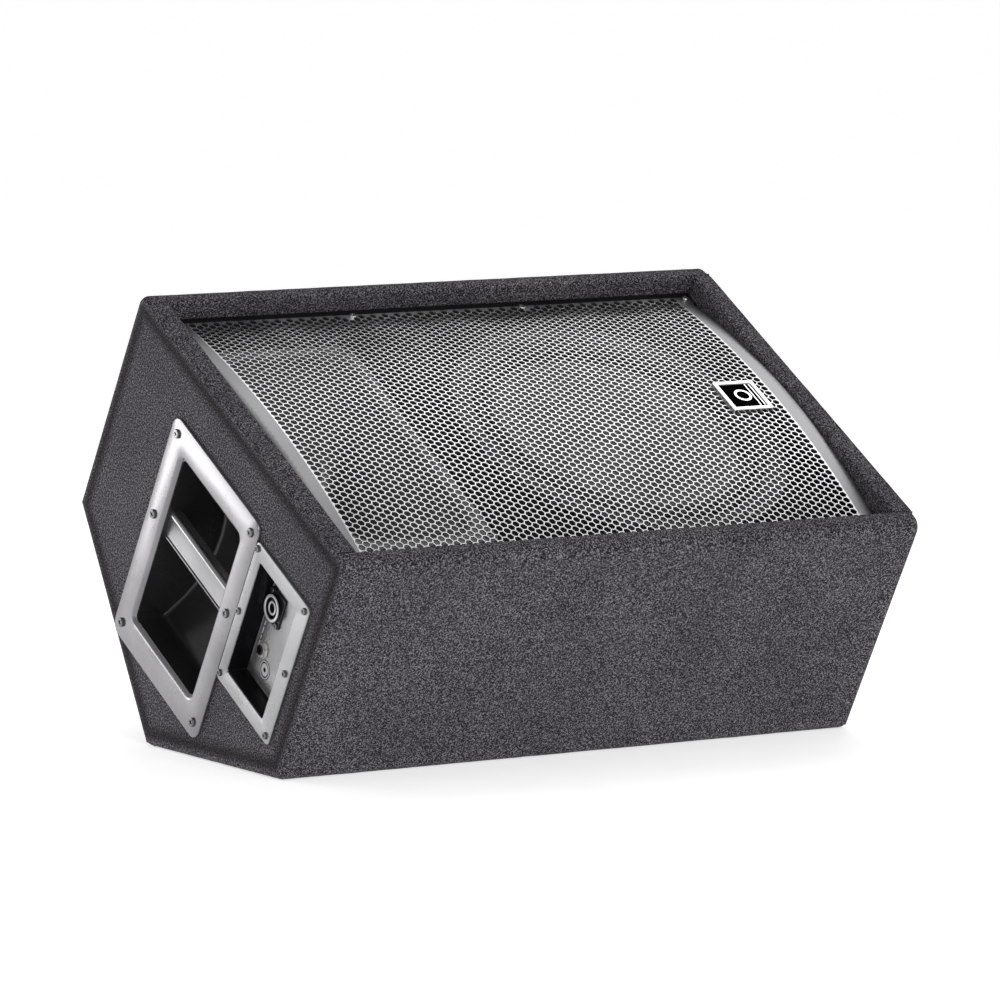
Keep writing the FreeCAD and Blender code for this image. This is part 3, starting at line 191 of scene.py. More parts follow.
# Short tangled carpet fibres: a tone from dark gaps to light flecks, which is also the height, and patches.
def makeFibreGroup(cfg):
    group, _, end = newGroup("carpetFibre", [], ["Tone", "Patch"])
    place = addNode(group, "ShaderNodeTexCoord").outputs["Object"]
    tuft = addNoise(group, place, cfg["tuft"], 2.0, cfg["roughness"])
    hair = addNoise(group, place, cfg["hair"], 1.5, cfg["roughness"])
    mixed = addNode(group, "ShaderNodeMath", {0: tuft, 1: hair}, operation="ADD")
    halved = addNode(group, "ShaderNodeMath", {0: mixed.outputs[0], 1: 0.5}, operation="MULTIPLY")
    group.links.new(halved.outputs[0], end.inputs["Tone"])
    group.links.new(addNoise(group, place, cfg["patch"], 3.0), end.inputs["Patch"])
    return group


studioSettings = {"fill": 0.50, "backdrop": 1.0}


# A white studio: the backdrop shows white, and lights the object more gently.
def makeStudio(cfg):
    world = bpy.data.worlds.new("studio")
    bpy.context.scene.world = world
    world.use_nodes = True
    tree = world.node_tree
    background = tree.nodes["Background"]
    background.inputs["Color"].default_value = (1, 1, 1, 1)
    seen = addNode(tree, "ShaderNodeLightPath").outputs["Is Camera Ray"]
    strength = addNode(tree, "ShaderNodeMapRange", {
        "Value": seen, "To Min": cfg["fill"], "To Max": cfg["backdrop"],
    })
    tree.links.new(strength.outputs["Result"], background.inputs["Strength"])


makeCamera(cameraSettings)
makeLights(lightSettings)
makeStudio(studioSettings)
print("camera and lights made")
grainGroup = makeGrainGroup()
fibreGroup = makeFibreGroup(fibreSettings)

# Materials.


def newMaterial(name, cfg):
    material = bpy.data.materials.new(name)
    material.use_nodes = True
    shader = material.node_tree.nodes["Principled BSDF"]
    shader.inputs["Base Color"].default_value = (*cfg["base"], 1)
    shader.inputs["Roughness"].default_value = cfg["roughness"]
    shader.inputs["Metallic"].default_value = cfg.get("metallic", 0)
    shader.inputs["Specular IOR Level"].default_value = cfg.get("specular", 0.5)
    shader.inputs["Sheen Weight"].default_value = cfg.get("sheen", 0)
    return material, material.node_tree, shader


# Paint, plastic, metal or paper with its own grain, blotches in tone and gloss, and fine bump.
def grainedMaterial(name, cfg):
    material, tree, shader = newMaterial(name, cfg)
    grain = addNode(tree, "ShaderNodeGroup", node_tree=grainGroup)
    grain.inputs["Scale"].default_value = cfg.get("grain", 900)
    grain.inputs["Blotch Scale"].default_value = cfg.get("blotch", 14)
    spread = cfg.get("spread", 0.18)
    dark = tuple(c * (1 - spread) for c in cfg["base"])
    light = tuple(min(1, c * (1 + spread)) for c in cfg["base"])
    tone = ramp(tree, grain.outputs["Blotch"], ((0.3, dark), (0.7, light)))
    tree.links.new(tone, shader.inputs["Base Color"])
    gloss = addNode(tree, "ShaderNodeMapRange", {
        "Value": grain.outputs["Blotch"], "From Min": 0.3, "From Max": 0.7,
        "To Min": max(0.02, cfg["roughness"] - 0.05), "To Max": cfg["roughness"] + 0.05,
    })
    tree.links.new(gloss.outputs["Result"], shader.inputs["Roughness"])
    addBump(tree, shader, grain.outputs["Height"], cfg.get("bump", 0.15), 0.0003)
    return material


# One of these tones, (0.30, 0.26, 0.26), is multiplied into the band beside each end face's rolled edge as painted
# shade.
carpetSettings = {
    "base": (0.024, 0.022, 0.026), "roughness": 0.95, "specular": 0.15, "sheen": 0.05,
    "sheenTint": (0.75, 0.72, 0.78, 1), "sheenRoughness": 0.5, "gap": (0.0035, 0.003, 0.004),
    "light": (0.080, 0.075, 0.086), "fleck": (0.30, 0.29, 0.32), "paintedShade": (0.30, 0.26, 0.26),
    "dullPatch": (0.82, 0.80, 0.84), "brightPatch": (1.1, 1.08, 1.06), "bumpDistance": 0.0022,
}


# The fibres' tone, darkened at random in patches, and darkened as painted shade in a band beside each end face's
# rolled edge, where the piece's attribute for that band says.
def carpetMaterial(name, cfg):
    material, tree, shader = newMaterial(name, cfg)
    shader.inputs["Sheen Roughness"].default_value = cfg["sheenRoughness"]
    shader.inputs["Sheen Tint"].default_value = cfg["sheenTint"]
    fibre = addNode(tree, "ShaderNodeGroup", node_tree=fibreGroup)
    colour = ramp(tree, fibre.outputs["Tone"], (
        (0.42, cfg["gap"]), (0.485, cfg["base"]), (0.53, cfg["light"]), (0.58, cfg["fleck"]),
    ))
    patch = ramp(tree, fibre.outputs["Patch"], ((0.3, cfg["dullPatch"]), (0.7, cfg["brightPatch"])))
    # The band on the end faces beside the rolled edge: painted shade.
    paintedShade = addNode(tree, "ShaderNodeAttribute", attribute_name="paintedShade").outputs["Fac"]
    paintedShadeTone = ramp(tree, paintedShade, ((0.0, (1, 1, 1)), (1.0, cfg["paintedShade"])))
    for layer in (patch, paintedShadeTone):
        mixed = addNode(tree, "ShaderNodeMix", {"Factor": 1.0}, data_type="RGBA", blend_type="MULTIPLY")
        tree.links.new(colour, mixed.inputs[6])
        tree.links.new(layer, mixed.inputs[7])
        colour = mixed.outputs[2]
    tree.links.new(colour, shader.inputs["Base Color"])
    addBump(tree, shader, fibre.outputs["Tone"], 1.0, cfg["bumpDistance"])
    return material


# The record's slots, then the other finishes that a piece has beside its slot's.
finishes = {
    "grille_paint": {
        "base": (0.62, 0.62, 0.63), "roughness": 0.30, "metallic": 0.95, "grain": 1500, "bump": 0.05,
    },
    "plated_screws": {"base": (0.62, 0.62, 0.62), "roughness": 0.25, "metallic": 1.0, "bump": 0.05},
    "badge_metal": {"base": (0.78, 0.78, 0.79), "roughness": 0.16, "metallic": 1.0, "bump": 0.04},
    "plate_finish": {
        "base": (0.225, 0.22, 0.23), "roughness": 0.27, "metallic": 0.88, "grain": 2200, "bump": 0.1,
    },
    "dish_finish": {
        "base": (0.26, 0.26, 0.265), "roughness": 0.26, "metallic": 0.88, "grain": 700, "bump": 0.7,
    },
    "cup_plastic": {"base": (0.016, 0.016, 0.017), "roughness": 0.24, "grain": 1600, "bump": 0.08},
    "grip_finish": {
        "base": (0.27, 0.265, 0.275), "roughness": 0.25, "metallic": 0.88, "grain": 1800, "bump": 0.06,
    },
    "black_screws": {"base": (0.14, 0.14, 0.145), "roughness": 0.2, "metallic": 0.9, "bump": 0.04},
    "socket_plastic": {"base": (0.012, 0.012, 0.013), "roughness": 0.25, "bump": 0.06},
    "contact_metal": {"base": (0.72, 0.60, 0.36), "roughness": 0.3, "metallic": 1.0},
    "nickel": {"base": (0.80, 0.78, 0.74), "roughness": 0.3, "metallic": 0.7, "bump": 0.03},
    "circuit_board": {"base": (0.03, 0.13, 0.05), "roughness": 0.4, "blotch": 60},
    "spacer_plastic": {"base": (0.78, 0.77, 0.72), "roughness": 0.45},
    "copper_coil": {"base": (0.62, 0.25, 0.11), "roughness": 0.3, "metallic": 0.9, "grain": 700, "bump": 0.5},
    "component_case": {"base": (0.55, 0.40, 0.06), "roughness": 0.3},
    "ceramic": {"base": (0.80, 0.78, 0.72), "roughness": 0.6},
    "lead_sheath": {"base": (0.02, 0.02, 0.02), "roughness": 0.5},
    "frame_paint": {"base": (0.12, 0.12, 0.122), "roughness": 0.4, "grain": 1200},
    "gasket_rubber": {"base": (0.025, 0.025, 0.026), "roughness": 0.55},
    "treated_cloth": {"base": (0.010, 0.010, 0.010), "roughness": 0.42, "grain": 1400, "bump": 0.7},
    "cone_paper": {"base": (0.13, 0.128, 0.126), "roughness": 0.62, "grain": 500, "bump": 0.5, "spread": 0.3},
    "motor_steel": {"base": (0.55, 0.55, 0.56), "roughness": 0.3, "metallic": 1.0},
    "ferrite": {"base": (0.07, 0.07, 0.075), "roughness": 0.55, "bump": 0.4},
    "horn_plastic": {"base": (0.055, 0.055, 0.056), "roughness": 0.24, "grain": 1500, "bump": 0.1},
    "diaphragm_foil": {"base": (0.75, 0.75, 0.77), "roughness": 0.25, "metallic": 1.0},
    "driver_cover": {"base": (0.03, 0.03, 0.03), "roughness": 0.35},
    "socket_cup": {"base": (0.03, 0.03, 0.031), "roughness": 0.42, "grain": 1300},
    "plywood": {
        "base": (0.55, 0.38, 0.22), "roughness": 0.65, "grain": 260, "bump": 0.4,
        "blotch": 22, "spread": 0.25,
    },
    "softwood": {"base": (0.03, 0.03, 0.03), "roughness": 0.7, "grain": 300, "bump": 0.4},
    "wool": {"base": (0.72, 0.70, 0.62), "roughness": 0.95, "grain": 300, "bump": 1.0},
    "baffle_black": {
        "base": (0.005, 0.005, 0.005), "roughness": 0.8, "specular": 0.15, "grain": 500, "bump": 0.4,
    },
    "print_white": {"base": (0.72, 0.72, 0.72), "roughness": 0.45, "bump": 0.02},
    "badge_black": {"base": (0.002, 0.002, 0.002), "roughness": 0.5, "bump": 0.02, "specular": 0.0},
    # Grey on the socket's top lips is a painted highlight; the socket's plastic is black.
    "socket_lip_painted_highlight": {"base": (0.62, 0.62, 0.64), "roughness": 0.3, "metallic": 0.4},
    # Black on the dish pocket's side walls, as painted shade; the same black is the printed disc on the dish
    # floor.
    "dish_wall_shade_and_print_black": {"base": (0.006, 0.006, 0.007), "roughness": 0.2, "specular": 0.25, "bump": 0.05},
    # A darker copy of the grille's own paint for its solid end strips: painted shade, so the webs read brighter.
    "grille_end_strip_painted_shade": {"base": (0.25, 0.25, 0.255), "roughness": 0.34, "metallic": 0.92, "bump": 0.06},
    # Black on the grille's flanges is painted shade; the sheet has one paint.
    "grille_flange_painted_shade": {"base": (0.006, 0.006, 0.006), "roughness": 0.5, "specular": 0.2, "grain": 1500},
}
materials = {name: grainedMaterial(name, cfg) for name, cfg in finishes.items()}
materials["carpet"] = carpetMaterial("carpet", carpetSettings)
slotOf = {part["node"]: part["material_slot"] for part in frame["record"]["subparts"]}
for name, part in nodes.items():
    part.data.materials.clear()
    part.data.materials.append(materials[slotOf[name]])
for name in ("baffle_board", "grille_battens"):
    nodes[name].data.materials[0] = materials["baffle_black"]
print("materials made")

# Mesh helpers.


# Turns a bmesh into a piece in the row frame, shades it, and rides it on its body, if it has just one.
def finishPiece(name, bm, finish, replaced=(), body="cabinet", place=toRow, smooth=35):
    bmesh.ops.remove_doubles(bm, verts=bm.verts, dist=weld)
    bmesh.ops.recalc_face_normals(bm, faces=bm.faces)
    if bm.calc_volume(signed=True) < 0:
        bmesh.ops.reverse_faces(bm, faces=bm.faces)
    bm.transform(place)
    mesh = bpy.data.meshes.new(name)
    bm.to_mesh(mesh)
    bm.free()
    for entry in (finish,) if isinstance(finish, str) else finish:
        mesh.materials.append(materials[entry])
    piece = bpy.data.objects.new(name, mesh)
    bpy.context.scene.collection.objects.link(piece)
    mesh.shade_smooth()
    if smooth:
        mesh.set_sharp_from_angle(angle=math.radians(smooth))
    if body:
        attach(piece, body)
    if replaced:
        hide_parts(*replaced)
    return piece


# A closed loop of edges: a rectangle in x and y with rounded corners, at height lift.
def roundedLoop(bm, wide, high, radius, lift, centre=(0, 0), steps=6, run=1):
    radius = max(radius, 1e-5)
    sides = ((1, 1), (-1, 1), (-1, -1), (1, -1))
    spots = []
    for quarter, (sx, sy) in enumerate(sides):
        cx, cy = sx * (wide / 2 - radius), sy * (high / 2 - radius)
        for i in range(steps + 1):
            angle = math.pi / 2 * (quarter + i / steps)
            spots.append(Vector((cx + radius * math.cos(angle), cy + radius * math.sin(angle), lift)))
        nx, ny = sides[(quarter + 1) % 4]
        turn = math.pi / 2 * (quarter + 1)
        follow = Vector((nx * (wide / 2 - radius), ny * (high / 2 - radius), lift))
        follow += Vector((radius * math.cos(turn), radius * math.sin(turn), 0))
        last = spots[-1]
        spots += [last.lerp(follow, i / run) for i in range(1, run)]
    verts = [bm.verts.new(spot + Vector((*centre, 0))) for spot in spots]
    return [bm.edges.new((verts[i - 1], verts[i])) for i in range(len(verts))]


# Joins loops in turn; each is held apart while it is joined, so that flat rings keep their order.
def bridge(bm, loops, closed=False):
    apart = 1 / 32
    for first, second in zip(loops, loops[1:] + (loops[:1] if closed else [])):
        corners = list({vert for edge in second for vert in edge.verts})
        bmesh.ops.translate(bm, vec=(0, 0, apart), verts=corners)
        bmesh.ops.bridge_loops(bm, edges=first + second)
        bmesh.ops.translate(bm, vec=(0, 0, -apart), verts=corners)


# Turns an outline of (radius, height) points about z into a shell.
def spun(bm, outline, steps=96):
    verts = [bm.verts.new((radius, 0, height)) for radius, height in outline]
    edges = [bm.edges.new(pair) for pair in zip(verts, verts[1:])]
    bmesh.ops.spin(
        bm, geom=verts + edges, cent=(0, 0, 0), axis=(0, 0, 1), angle=math.tau, steps=steps, use_merge=True,
    )
    bmesh.ops.remove_doubles(bm, verts=bm.verts, dist=weld)


# Points on an arc in radius and height, angles in degrees.
def arcPoints(centre, radius, start, stop, steps):
    angles = [math.radians(start + (stop - start) * i / steps) for i in range(steps + 1)]
    return [(centre[0] + radius * math.cos(a), centre[1] + radius * math.sin(a)) for a in angles]


def everything(bm):
    return bm.verts[:] + bm.edges[:] + bm.faces[:]


def onlyVerts(geom):
    return [part for part in geom if isinstance(part, bmesh.types.BMVert)]


# A place in the mouth's frame, with own z out of the mouth.
def outFrame(x, y, z):
    return toRow @ Matrix.Translation((x, y, z))


# A place on the left end: own x up towards the mouth, own z out of the end.
def leftEnd(x, y, z):
    return outFrame(x, y, z) @ Matrix.Rotation(math.radians(-90), 4, "Y")


# Carpet.

# The second set of cuts and the four settings on the last line lay out a band of painted shade on each end face,
# measured in from its edge.
carpetPiece = {
    "grid": 0.012, "bevel": 0.0022, "wave": 0.0005, "seed": 4, "roll": 0.0068,
    "rollCuts": (0.0017, 0.0034, 0.0051, 0.0068), "shadeBandCuts": (0.0088, 0.0105, 0.0135, 0.018, 0.023),
    "shadeBandFrom": 0.0045, "shadeBandPeak": 0.0105, "shadeBandTo": 0.023, "shadeBandFall": 1.3,
}
carpetPanels = {
    "carpet_wrap": ("front_panel", "rear_lower_panel", "rear_upper_panel"),
    "carpet_end_left": ("end_panel_left",),
    "carpet_end_right": ("end_panel_right",),
    "carpet_floor": ("floor_panel",),
}


# The cabinet's outline seen from its end, as edges with their inward normals.
def endOutline():
    spots = [(toMouth @ v.co).yz for name in carpetPanels for v in nodes[name].data.vertices]
    ring = [spots[i] for i in geometry.convex_hull_2d(spots)]
    middle = sum(ring, Vector((0, 0))) / len(ring)
    sides = []
    for first, second in zip(ring, ring[1:] + ring[:1]):
        along = second - first
        if along.length < 1e-5:
            continue
        inward = Vector((-along.y, along.x)).normalized()
        if inward.dot(middle - first) < 0:
            inward = -inward
        sides.append((first, inward, along.length))
    return sides


outline = endOutline()
cabinetEnd = max(abs((toMouth @ v.co).x) for v in nodes["carpet_wrap"].data.vertices)


# How deep a point lies under the end face and under the wrapped sides, and the nearest side's normal.
def depths(spot):
    side, nearest = min(((spot.yz - first).dot(inward), i) for i, (first, inward, _) in enumerate(outline))
    return cabinetEnd - abs(spot.x), side, outline[nearest][1]


def cutAll(bm, spot, way):
    bmesh.ops.bisect_plane(bm, geom=everything(bm), plane_co=spot, plane_no=way)


def alongAxis(axis, value):
    spot = Vector((0, 0, 0))
    spot[axis] = value
    return spot


# Cuts the whole shape in each direction into equal slices of about one grid step.
def cutGrid(bm, grid):
    for axis in range(3):
        low = min(v.co[axis] for v in bm.verts)
        high = max(v.co[axis] for v in bm.verts)
        count = int((high - low) / grid)
        for i in range(1, count):
            cutAll(bm, alongAxis(axis, low + (high - low) * i / count), alongAxis(axis, 1))


# Cuts where the edge's roll bends and where the band of painted shade beside it fades in and out; an end piece is
# also cut along its outline.
def cutRoll(bm, insets, isEnd):
    for inset in insets:
        for side in (-1, 1):
            cutAll(bm, alongAxis(0, side * (cabinetEnd - inset)), alongAxis(0, 1))
        for first, inward, long in outline if isEnd else ():
            if long > 0.1:
                cutAll(bm, Vector((0, *(first + inward * inset))), Vector((0, *inward)))


# Rounds the edge between the end face and the sides, and marks in an attribute a band of painted shade on the end
# face beside that edge.
def rollEdge(bm, cfg, skin):
    roll = cfg["roll"]
    paintedShade = bm.verts.layers.float.new("paintedShade")
    for vert in bm.verts:
        end, side, inward = depths(vert.co)
        if min(end, side) > skin:
            continue
        # A band of painted shade on the end face: it rises, holds, then fades with distance in from the edge.
        if end < skin:
            rise = (side - cfg["shadeBandFrom"]) / (cfg["shadeBandPeak"] - cfg["shadeBandFrom"])
            fall = (cfg["shadeBandTo"] - side) / (cfg["shadeBandTo"] - cfg["shadeBandPeak"])
            vert[paintedShade] = max(0, min(rise, cfg["shadeBandFall"] * fall, 1))
        if max(end, side) <= roll:
            turn = math.pi / 4 * (end - side + roll) / roll
            newEnd, newSide = roll * (1 - math.cos(turn)), roll * (1 - math.sin(turn))
            vert.co.x -= math.copysign(newEnd - end, vert.co.x)
            vert.co.yz += inward * (newSide - side)


# The node's own shape with soft edges, cut to a grid and made gently uneven.
def softSkin(node, cfg):
    skin = 1e-5
    bm = bmesh.new()
    bm.from_mesh(nodes[node].data)
    bmesh.ops.remove_doubles(bm, verts=bm.verts, dist=weld)
    bm.transform(toMouth)
    bmesh.ops.dissolve_limit(bm, angle_limit=math.radians(1), verts=bm.verts, edges=bm.edges)
    sharp = [e for e in bm.edges if len(e.link_faces) == 2 and e.calc_face_angle() > math.radians(50)]
    if "roll" in cfg:
        sharp = [e for e in sharp if min(min(depths(v.co)[:2]) for v in e.verts) > skin]
    bmesh.ops.bevel(
        bm, geom=sharp, offset=cfg["bevel"] / 2, segments=2, profile=0.5, affect="EDGES", material=-1,
    )
    cutGrid(bm, cfg["grid"])
    if "roll" in cfg:
        cutRoll(bm, cfg["rollCuts"] + cfg["shadeBandCuts"], "end" in node)
    bm.normal_update()
    if "roll" in cfg:
        rollEdge(bm, cfg, skin)
    for vert in bm.verts:
        swell = noise.noise(vert.co * 60 + Vector((cfg["seed"], 0, 0))) + 0.6 * noise.noise(vert.co * 170)
        vert.co += vert.normal * cfg["wave"] * swell * 0.5
    return bm


for name, panels in carpetPanels.items():
    pile = finishPiece(name + "_pile", softSkin(name, carpetPiece), "carpet", (name,), smooth=60)
print("carpet made")

# Grille.

grilleBox = mouthBox("grille")
badgeBox = mouthBox("badge")
grilleSettings = {
    "pitch": 0.0072, "web": 0.00115, "thick": 0.0012, "flange": 0.017, "holesTo": 0.2644,
    "bow": 0.005, "bowCuts": 6, "foldRadius": 0.0022, "skirt": 0.009, "underBadge": 0.005,
    "holesBeyond": 0.0090, "screwRoom": 0.0048, "paintGap": 0.0002,
}


# Middles of the grille screws, from the loose shells of their node.
def grilleScrewPlaces():
    headSpan = 0.012
    bm = bmesh.new()
    bm.from_mesh(nodes["grille_screws"].data)
    bm.transform(toMouth)
    places = []
    for vert in bm.verts:
        spot = vert.co.xy
        near = next((group for group in places if (group[0] - spot).length < headSpan), None)
        if near is None:
            places.append([spot, spot.copy(), spot.copy()])
        else:
            near[1] = Vector(map(min, near[1], spot))
            near[2] = Vector(map(max, near[2], spot))
    bm.free()
    return [(group[1] + group[2]) / 2 for group in places]


# Sizes of the flattened sheet that its settings and the node's box give.
def sheetSizes(cfg):
    edge, end = grilleBox[1].y, grilleBox[1].x
    half = edge - cfg["flange"]
    rise = grilleBox[1].z - grilleBox[0].z - cfg["thick"]
    arch = (half * half + rise * rise) / (2 * rise)
    halfRun = arch * math.asin(half / arch)
    return {
        "end": end, "half": half, "rise": rise, "arch": arch, "halfRun": halfRun,
        "total": halfRun + cfg["flange"],
    }


# A flat field of hexagons that covers the sheet.
def layCells(bm, cfg, size):
    pitch = cfg["pitch"]
    cell = pitch / math.sqrt(3)
    columns = int(size["end"] / (3 * cell)) + 1
    rows = int(size["total"] / pitch) + 2
    for x, y in ((0, 0), (1.5 * cell, pitch / 2)):
        place = Matrix.Translation((x, y, 0)) @ Matrix.Rotation(math.pi / 6, 4, "Z")
        bmesh.ops.create_circle(bm, cap_ends=True, segments=6, radius=cell, matrix=place)
    for count, step in ((2 * rows, (0, pitch, 0)), (2 * columns, (3 * cell, 0, 0))):
        bmesh.ops.spin(
            bm, geom=everything(bm), cent=(0, 0, 0), axis=(0, 0, 1), dvec=step, angle=0, steps=count,
            use_duplicate=True,
        )
    bmesh.ops.translate(bm, vec=(-3 * cell * columns, -pitch * rows, 0), verts=bm.verts)
    bmesh.ops.remove_doubles(bm, verts=bm.verts, dist=1e-5)
    bm.normal_update()


# Opens the cells, except at the ends and under the badge and the screw heads; gives the field's half sizes.
def pierce(bm, cfg, size):
    cell = cfg["pitch"] / math.sqrt(3)
    half, halfRun = size["half"], size["halfRun"]
    badge = centreOf(badgeBox)
    badgeHalf = (badgeBox[1].x - badgeBox[0].x) / 2 - cfg["underBadge"]
    heads = grilleScrewPlaces()

    def isOpen(spot):
        flat = Vector((spot.x, math.copysign(half + max(0, abs(spot.y) - halfRun), spot.y)))
        nearHead = any((flat - head).length < cfg["screwRoom"] for head in heads)
        underBadge = abs(spot.x - badge.x) < badgeHalf and abs(spot.y) < badgeHalf
        underHead = abs(spot.y) > halfRun - cfg["pitch"] and nearHead
        inField = abs(spot.x) < cfg["holesTo"] - cell and abs(spot.y) < halfRun + cfg["holesBeyond"]
        return inField and not underBadge and not underHead

    holes = [face for face in bm.faces if isOpen(face.calc_center_median())]
    reach = [max(abs(v.co[axis]) for face in holes for v in face.verts) for axis in (0, 1)]
    bmesh.ops.inset_individual(bm, faces=holes, thickness=cfg["web"] / 2)
    bmesh.ops.delete(bm, geom=holes, context="FACES_ONLY")
    return reach


# Trims one end to its shallow bow and folds a skirt down along it.
def foldEnd(bm, cfg, size, side):
    fold, total, count = cfg["foldRadius"], size["total"], cfg["bowCuts"]
    bowRadius = (total * total + cfg["bow"] ** 2) / (2 * cfg["bow"])
    cuts = [((0, side * total, 0), (0, side, 0))]
    for k in range(-count, count + 1):
        y = total * k / (count + 0.5)
        lean = math.asin(y / bowRadius)
        x = side * (size["end"] - fold - bowRadius * (1 - math.cos(lean)))
        cuts.append(((x, y, 0), (side * math.cos(lean), math.sin(lean), 0)))
    for place, normal in cuts:
        bmesh.ops.bisect_plane(bm, geom=everything(bm), plane_co=place, plane_no=normal, clear_outer=True)
    limit = size["end"] - fold - cfg["bow"] - 0.001
    rim = [
        e for e in bm.edges
        if e.is_boundary and all(v.co.x * side > limit for v in e.verts)
        and not all(abs(abs(v.co.y) - total) < 1e-5 for v in e.verts)
    ]
    places = [(fold * math.sin(a), -fold * (1 - math.cos(a))) for a in map(math.radians, (30, 60, 90))]
    places.append((fold, -fold - cfg["skirt"]))
    last = (0, 0)
    for out, drop in places:
        moved = bmesh.ops.extrude_edge_only(bm, edges=rim)["geom"]
        bmesh.ops.translate(bm, vec=(side * (out - last[0]), 0, drop - last[1]), verts=onlyVerts(moved))
        rim = [part for part in moved if isinstance(part, bmesh.types.BMEdge)]
        last = (out, drop)


# Bends the flat sheet to its arch; the flanges beyond it stay level, with the skirt pressed flat there.
def bendSheet(bm, size):
    halfRun, arch = size["halfRun"], size["arch"]
    base = grilleBox[0].z
    for vert in bm.verts:
        run, drop = vert.co.y, vert.co.z
        angle = max(-halfRun, min(halfRun, run)) / arch
        vert.co.y = (arch + drop) * math.sin(angle) + (run - angle * arch)
        if abs(run) > halfRun:
            vert.co.z = base + drop * 0.05
        else:
            vert.co.z = base + size["rise"] - arch + (arch + drop) * math.cos(angle)


# Honeycomb cells laid flat, pierced, cut to the plan outline, folded at the ends and bent to the arch.
def makeGrille(cfg):
    size = sheetSizes(cfg)
    bm = bmesh.new()
    layCells(bm, cfg, size)
    reach = pierce(bm, cfg, size)
    for axis in (0, 1):
        for side in (-1, 1):
            spot = alongAxis(axis, side * (reach[axis] + cfg["paintGap"]))
            cutAll(bm, spot, spot.normalized())
    for side in (-1, 1):
        foldEnd(bm, cfg, size, side)
    for face in bm.faces:
        spot = face.calc_center_median()
        # The solid end strips take the darker copy of the grille's paint: painted shade.
        endStripShade = 2 if abs(spot.x) > reach[0] else 0
        # Faces on the flanges beyond the hole field take black: painted shade.
        face.material_index = 1 if abs(spot.y) > reach[1] else endStripShade
    bendSheet(bm, size)
    bmesh.ops.recalc_face_normals(bm, faces=bm.faces)
    if max(bm.faces, key=lambda f: f.calc_center_median().z).normal.z < 0:
        bmesh.ops.reverse_faces(bm, faces=bm.faces)
    bmesh.ops.solidify(bm, geom=bm.faces[:], thickness=-cfg["thick"])
    return bm


grille = finishPiece(
    "grille_mesh", makeGrille(grilleSettings), ("grille_paint", "grille_flange_painted_shade", "grille_end_strip_painted_shade"),
    ("grille",), smooth=30,
)
print("grille made", len(grille.data.polygons))

# Badge.

badgeSettings = {
    "frame": 0.0048, "rim": 0.0006, "sunk": 0.0007, "mark": 0.0085, "markHole": 0.72,
    "lines": 2, "line": 0.0012, "gap": 0.0022, "lineLong": 0.94,
}
badgeSize = badgeBox[1].x - badgeBox[0].x
badgeRise = badgeBox[1].z - badgeBox[0].z
badgeField = badgeSize - 2 * badgeSettings["frame"]


# A bright frame round a sunk black field.
def makeBadge(cfg):
    rim, size, field = cfg["rim"], badgeSize, badgeField
    bm = bmesh.new()
    loops = [
        roundedLoop(bm, size, size, 0.002, 0),
        roundedLoop(bm, size, size, 0.002, badgeRise - rim),
        roundedLoop(bm, size - 2 * rim, size - 2 * rim, 0.0016, badgeRise),
        roundedLoop(bm, field + 2 * rim, field + 2 * rim, 0.0008, badgeRise),
        roundedLoop(bm, field, field, 0.0006, badgeRise - cfg["sunk"]),
    ]
    bridge(bm, loops)
    for loop in (loops[0], loops[-1]):
        bmesh.ops.contextual_create(bm, geom=loop)
    for face in bm.faces:
        inside = all(max(abs(v.co.x), abs(v.co.y)) < field / 2 + 1e-5 for v in face.verts)
        face.material_index = 1 if inside and face.calc_center_median().z > badgeRise / 2 else 0
    return bm


def raisedRing(bm, outer, inner, low, high, steps=32):
    spun(bm, [(inner, low), (outer, low), (outer, high), (inner, high), (inner, low)], steps)


# A plain ring for a mark, and a double line along one side.
def makeBadgeMark(cfg):
    top = badgeRise - cfg["sunk"]
    bm = bmesh.new()
    raisedRing(bm, cfg["mark"], cfg["mark"] * cfg["markHole"], top - 0.0001, top + 0.0004)
    for i in range(cfg["lines"]):
        place = Matrix.Translation((badgeField / 2 - cfg["gap"] * (1 + 2 * i), 0, top + 0.0001))
        size = Matrix.Diagonal((cfg["line"], badgeField * cfg["lineLong"], 0.0006, 1))
        bmesh.ops.create_cube(bm, size=1, matrix=place @ size)
    return bm


badgePlace = outFrame(*centreOf(badgeBox).xy, badgeBox[0].z)
finishPiece(
    "badge_frame", makeBadge(badgeSettings), ("badge_metal", "badge_black"), ("badge",), place=badgePlace,
)
finishPiece("badge_mark", makeBadgeMark(badgeSettings), "badge_metal", place=badgePlace)
print("badge made")

# Handle.

plateBox = mouthBox("handle_plate")
cupBox = mouthBox("handle_cup")
gripBox = mouthBox("handle_grip_bar")
handleSettings = {
    "corner": 0.012, "edge": 0.0009, "openWide": gripBox[1].y - gripBox[0].y, "openHigh": 0.1758,
    "openCorner": 0.006, "lipWall": 0.002, "cupWall": 0.0025, "cupSide": 0.028, "cupRound": 0.0062,
    "lip": ((0.0048, 0), (0.0034, 0.0003), (0.0020, 0.0011), (0.0009, 0.0023), (0.0002, 0.0037)),
    "wallRings": (0, 0.35, 0.7), "floorRings": (0.25, 0.5, 0.75, 0.97),
}
handleCentre = centreOf(plateBox)
endFace = cupBox[0].x
plateRise = endFace - plateBox[0].x
lipDrop = plateBox[1].x - endFace


